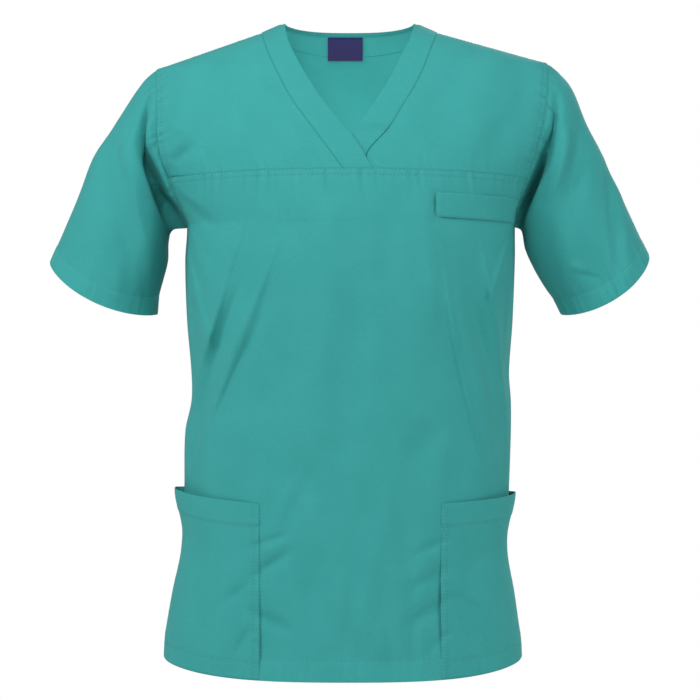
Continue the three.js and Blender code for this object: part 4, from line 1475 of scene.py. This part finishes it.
# Rows or columns at a free edge and at a hem, by their distances in from it, and the spacings of small pieces
FREE = (0, 0.5, 1.2, 2.2, 3.4, 5, 7, 9.5)
HEM = (0, 0.5, 1.2, 2.4, 5, 8, 11, 14, 16.5, 18.5, 19.5, 20.4, 21.2, 22, 23, 24.5, 27)
NARROW = Spacing(2.0)
FINE = Spacing(2.0, start=FREE, end=FREE)
ROUND = Spacing(2.4, start=(0, 2.4), end=(0, 2.4))
# Doubled topstitching beside a seam: the rows' distances from it
DOUBLE = (1.4, 7.2)


def body_sewing(pucker: float, seeds: tuple[float, float, float], top: Sewing) -> tuple[Sewing, ...]:
    """Sew a body panel: a hem, its top seam and two side seams stitched up to the armholes.

    Args:
        pucker: The side seams' pucker.
        seeds: The seeds of the hem and of the right and left side seams.
        top: The seam along the top.

    Returns:
        The panel's sewing.
    """
    hem, right, left = seeds
    return (
        Sewing(Edge.FOOT, dip=0.2, rows=(22.0,), hem=22.4, pucker=0.55, reach=26, seed=hem), top,
        Sewing(Edge.RIGHT, rows=DOUBLE, pucker=pucker, low=-198, seed=right),
        Sewing(Edge.LEFT, rows=DOUBLE, pucker=pucker, low=-198, seed=left),
    )


def yoke_sewing(arm: Edge, neck: Edge, seeds: tuple[float, float, float, float]) -> tuple[Sewing, ...]:
    """Sew a yoke: its seam, a doubly stitched armhole, the band's seam and a stitched shoulder.

    Args:
        arm: The edge at the armhole.
        neck: The edge at the neck band.
        seeds: The seeds of the yoke seam, the armhole, the band's seam and the shoulder.

    Returns:
        The yoke's sewing.
    """
    return (
        Sewing(Edge.FOOT, pucker=0.45, reach=16, seed=seeds[0]),
        Sewing(arm, rows=DOUBLE, pucker=0.8, seed=seeds[1]),
        Sewing(neck, dip=0.8, pucker=0.12, seed=seeds[2]),
        Sewing(Edge.TOP, dip=0.6, rows=(6.0,), hem=6.4, step=0.4, pucker=0.2, seed=seeds[3]),
    )


def sleeve_sewing(seed: float, pucker: float, reach: float) -> tuple[Sewing, ...]:
    """Sew a sleeve: a puckered armhole seam and a hemmed cuff.

    Args:
        seed: The armhole seam's seed.
        pucker: The hem's pucker.
        reach: How far the hem's pucker runs in.

    Returns:
        The sleeve's sewing.
    """
    return (
        Sewing(Edge.FOOT, pucker=1.0, reach=17, seed=seed),
        Sewing(Edge.TOP, dip=0.2, rows=(19.5,), hem=19.8, pucker=pucker, reach=reach, seed=seed + 2.5),
    )


def band_sewing(seam: Edge, fold: Edge) -> tuple[Sewing, ...]:
    """Sew a front band: its long seam, its folded edge and both ends.

    Args:
        seam: The edge sewn to the yoke.
        fold: The edge at the neck.

    Returns:
        The band's sewing.
    """
    return (
        Sewing(seam, dip=0.8, pucker=0.1), Sewing(fold, dip=0.3, pucker=0.08, bury=0.8),
        Sewing(Edge.FOOT, pucker=0.1), Sewing(Edge.TOP, pucker=0.1),
    )


def pocket_sewing(inner: Edge, outer: Edge, seed: float) -> tuple[Sewing, ...]:
    """Sew a patch pocket: a stitched mouth, a doubly stitched inner edge, the hem and the side seam.

    Args:
        inner: The edge towards the middle.
        outer: The edge at the side seam.
        seed: The mouth's seed, from which the others count.

    Returns:
        The pocket's sewing.
    """
    return (
        Sewing(Edge.TOP, dip=0.3, rows=(24.5,), pucker=0.15, seed=seed),
        Sewing(inner, dip=1.4, rows=(1.2, 7.0), pucker=0.35, seed=seed + 2),
        Sewing(Edge.FOOT, dip=0.6, pucker=0.2, seed=seed + 1, rows=(19.5,)),
        Sewing(outer, dip=0.8, pucker=0.2, seed=seed + 3),
    )


PANELS: tuple[ClothPanel, ...] = (
    FrontBody(
        "front_body", flat=(0.56, 0.575), area=0.292, columns=Spacing(2.8), rows=Spacing(2.9, start=HEM),
        sewing=body_sewing(
            0.85, (2.1, 4.2, 5.1), Sewing(Edge.TOP, rows=DOUBLE, pucker=0.75, reach=24, seed=0.7)
        ),
    ),
    FrontYoke(
        "front_yoke_right", flat=(0.2, 0.195), area=0.0304, columns=NARROW, rows=NARROW,
        sewing=yoke_sewing(Edge.RIGHT, Edge.LEFT, (0.7, 3.3, 1.9, 2.6)),
    ),
    FrontYoke(
        "front_yoke_left", flat=(0.2, 0.195), area=0.0304, columns=NARROW, rows=NARROW,
        hole=TORSO.left, band=BAND_LEFT, sewing=yoke_sewing(Edge.LEFT, Edge.RIGHT, (0.9, 3.9, 1.2, 2.2)),
    ),
    BackPanel(
        "back_panel", flat=(0.56, 0.75), area=0.37, outward=-1,
        columns=Spacing(3.0), rows=Spacing(3.1, start=HEM),
        sewing=body_sewing(0.45, (1.3, 2.2, 3.1), Sewing(Edge.TOP, dip=0.15, bury=1.0, pucker=0.2, seed=0.4)),
    ),
    Sleeve(
        "sleeve_right", flat=(0.39, 0.24), area=0.0768, folds=SLEEVE_RIGHT_CREASES,
        columns=ROUND, rows=Spacing(2.3, end=HEM), sewing=sleeve_sewing(0.3, 0.55, 22),
    ),
    Sleeve(
        "sleeve_left", flat=(0.39, 0.24), area=0.0768, folds=SLEEVE_LEFT_CREASES, outward=-1,
        hole=TORSO.left, table=SLEEVE_LEFT,
        columns=ROUND, rows=Spacing(2.3, end=HEM), sewing=sleeve_sewing(1.3, 1.0, 26),
    ),
    FrontBand(
        "neck_band_right", softness=0.0, slot="band", flat=(0.035, 0.24), area=0.0071, wall=1.6,
        columns=FINE, rows=NARROW, sewing=band_sewing(Edge.RIGHT, Edge.LEFT),
    ),
    FrontBand(
        "neck_band_left", softness=0.0, slot="band", flat=(0.035, 0.24), area=0.0069, wall=1.6,
        band=BAND_LEFT, is_under=True, columns=FINE, rows=NARROW, sewing=band_sewing(Edge.LEFT, Edge.RIGHT),
    ),
    BackBand(
        "neck_band_back", softness=0.0, slot="band", flat=(0.26, 0.035), area=0.0078, wall=1.1, outward=-1,
        columns=NARROW, rows=FINE,
        sewing=(
            Sewing(Edge.FOOT, dip=0.1, pucker=0.1),
            Sewing(Edge.TOP, dip=0.2, hem=4.2, step=-1.3, pucker=0.08, bury=0.8),
            Sewing(Edge.RIGHT, pucker=0.1), Sewing(Edge.LEFT, pucker=0.1),
        ),
    ),
    ChestWelt(
        "chest_pocket_welt", softness=0.0, slot="pocket", flat=(0.128, 0.0295), area=0.0037, wall=1.5,
        columns=FINE, rows=Spacing(1.8, start=FREE, end=FREE),
        sewing=(
            Sewing(Edge.FOOT, dip=1.3, rows=(1.6,), pucker=0.15, seed=0.5),
            Sewing(Edge.TOP, dip=0.9, pucker=0.2, seed=1.5),
            Sewing(Edge.RIGHT, dip=2.4, rows=(1.6,), pucker=0.25, seed=2.5),
            Sewing(Edge.LEFT, dip=1.2, pucker=0.15, seed=3.5),
        ),
    ),
    PatchPocket(
        "patch_pocket_right", softness=0.6, slot="pocket", flat=(0.168, 0.205), area=0.0327, wall=1.3,
        columns=Spacing(2.4, start=FREE, end=FREE), rows=Spacing(2.4, start=FREE, end=HEM),
        sewing=pocket_sewing(Edge.LEFT, Edge.RIGHT, 0.5),
    ),
    PatchPocket(
        "patch_pocket_left", softness=0.6, slot="pocket", flat=(0.152, 0.2), area=0.0294, wall=1.3,
        side=Side.LEFT, inner=99.0, top_outer=-508.0, gape=6.0,
        columns=Spacing(2.4, start=FREE, end=FREE), rows=Spacing(2.4, start=FREE, end=HEM),
        sewing=pocket_sewing(Edge.RIGHT, Edge.LEFT, 0.9),
    ),
    NeckLabel(
        "neck_label", softness=0.0, slot="label", flat=(0.042, 0.0285), area=0.00119, wall=0.8, outward=1,
        columns=FINE, rows=FINE,
        sewing=(Sewing(Edge.TOP, dip=0.4, pucker=0.0), Sewing(Edge.FOOT, dip=0.2, pucker=0.0)),
    ),
)


@dataclass(frozen=True)
class Studio:
    """The photograph's viewpoint, a plain pale floor, a room's light and six soft lamps.

    Four light the front: a small key above it to the wearer's right, two wide ones at its sides and one above
    the shoulders. A weak one stands inside the chest and lights the inner back that shows in the neck. The
    last lights the back for views from behind.
    """

    eye: tuple[float, float, float] = (0.0006, -2.6, -0.3477)
    lens: float = 117.3
    floor: float = -1.0
    world: str = "#ffffff"
    room: str = "#eef4f6"
    paper: str = "#f7f7f7"
    room_light: float = 0.31

    def build(self) -> None:
        """Make the floor, the lights and the camera."""
        scene = bpy.context.scene
        lens = bpy.data.cameras.new("studio_camera")
        lens.lens, lens.sensor_width = self.lens, 36.0
        camera = add_object("studio_camera", lens)
        camera.location = self.eye
        camera.rotation_euler = (math.radians(90), 0, 0)
        scene.camera = camera
        bm = bmesh.new()
        bmesh.ops.create_grid(bm, x_segments=1, y_segments=1, size=1.5)
        bmesh.ops.translate(bm, verts=bm.verts[:], vec=(0, 0, self.floor))
        mesh = bpy.data.meshes.new("studio_floor")
        bm.to_mesh(mesh)
        bm.free()
        # Matt off-white paper, which gives the eye a level ground without a shine
        paper, _, shader = new_material("pale_paper")
        shader.inputs["Base Color"].default_value = to_linear(self.paper)
        shader.inputs["Roughness"].default_value = 0.9
        mesh.materials.append(paper)
        add_object("studio_floor", mesh)
        world = bpy.data.worlds.new("studio_world")
        world.use_nodes = True
        tree = world.node_tree
        paper_white = tree.nodes["Background"]
        paper_white.inputs["Color"].default_value = to_linear(self.world)
        room = add_node(tree, "ShaderNodeBackground", {
            "Color": to_linear(self.room), "Strength": self.room_light,
        }, {})
        seen = add_node(tree, "ShaderNodeLightPath", {}, {}).outputs["Is Camera Ray"]
        both = add_node(tree, "ShaderNodeMixShader", {}, {
            0: seen, 1: room.outputs["Background"], 2: paper_white.outputs["Background"],
        })
        tree.links.new(both.outputs["Shader"], tree.nodes["World Output"].inputs["Surface"])
        scene.world = world
        scene.view_settings.view_transform = "Standard"
        self.lamp("key", (-0.5, -1.5, 0.6), 0.4, 8.4)
        self.lamp("side", (-2.4, -1.2, 0.8), 0.7, 30.0)
        self.lamp("fill", (2.5, -1.3, 0.7), 1.0, 30.0)
        self.lamp("inside", (0.0, -0.075, -0.2), 0.06, 0.38, (0.0, 0.08, -0.03))
        self.lamp("top", (-0.2, -0.9, 1.0), 0.5, 6.0)
        self.lamp("back", (1.2, 2.8, 0.9), 1.2, 40.0)

    def lamp(
        self, name: str, place: Point, size: float, power: float, aim: Point = (0.0, 0.0, -0.35)
    ) -> None:
        """Make a soft square lamp that faces the top.

        Args:
            name: The lamp's name.
            place: Where it stands.
            size: The side of its square, in metres.
            power: Its power in watts.
            aim: The point that it faces.
        """
        light = bpy.data.lights.new(name, "AREA")
        light.size, light.energy = size, power
        lamp = add_object(name, light)
        lamp.location = place
        lamp.rotation_euler = (Vector(aim) - Vector(place)).to_track_quat("-Z", "Y").to_euler()
        lamp.visible_camera = False


def main() -> None:
    logging.basicConfig(level=logging.INFO, format="%(name)s: %(message)s")
    Studio().build()
    finishes = Finishes(Poplin().material(), WovenLabel().material(), SpunThread().material())
    for panel in PANELS:
        panel.build(finishes)


if __name__ == "__main__":
    main()
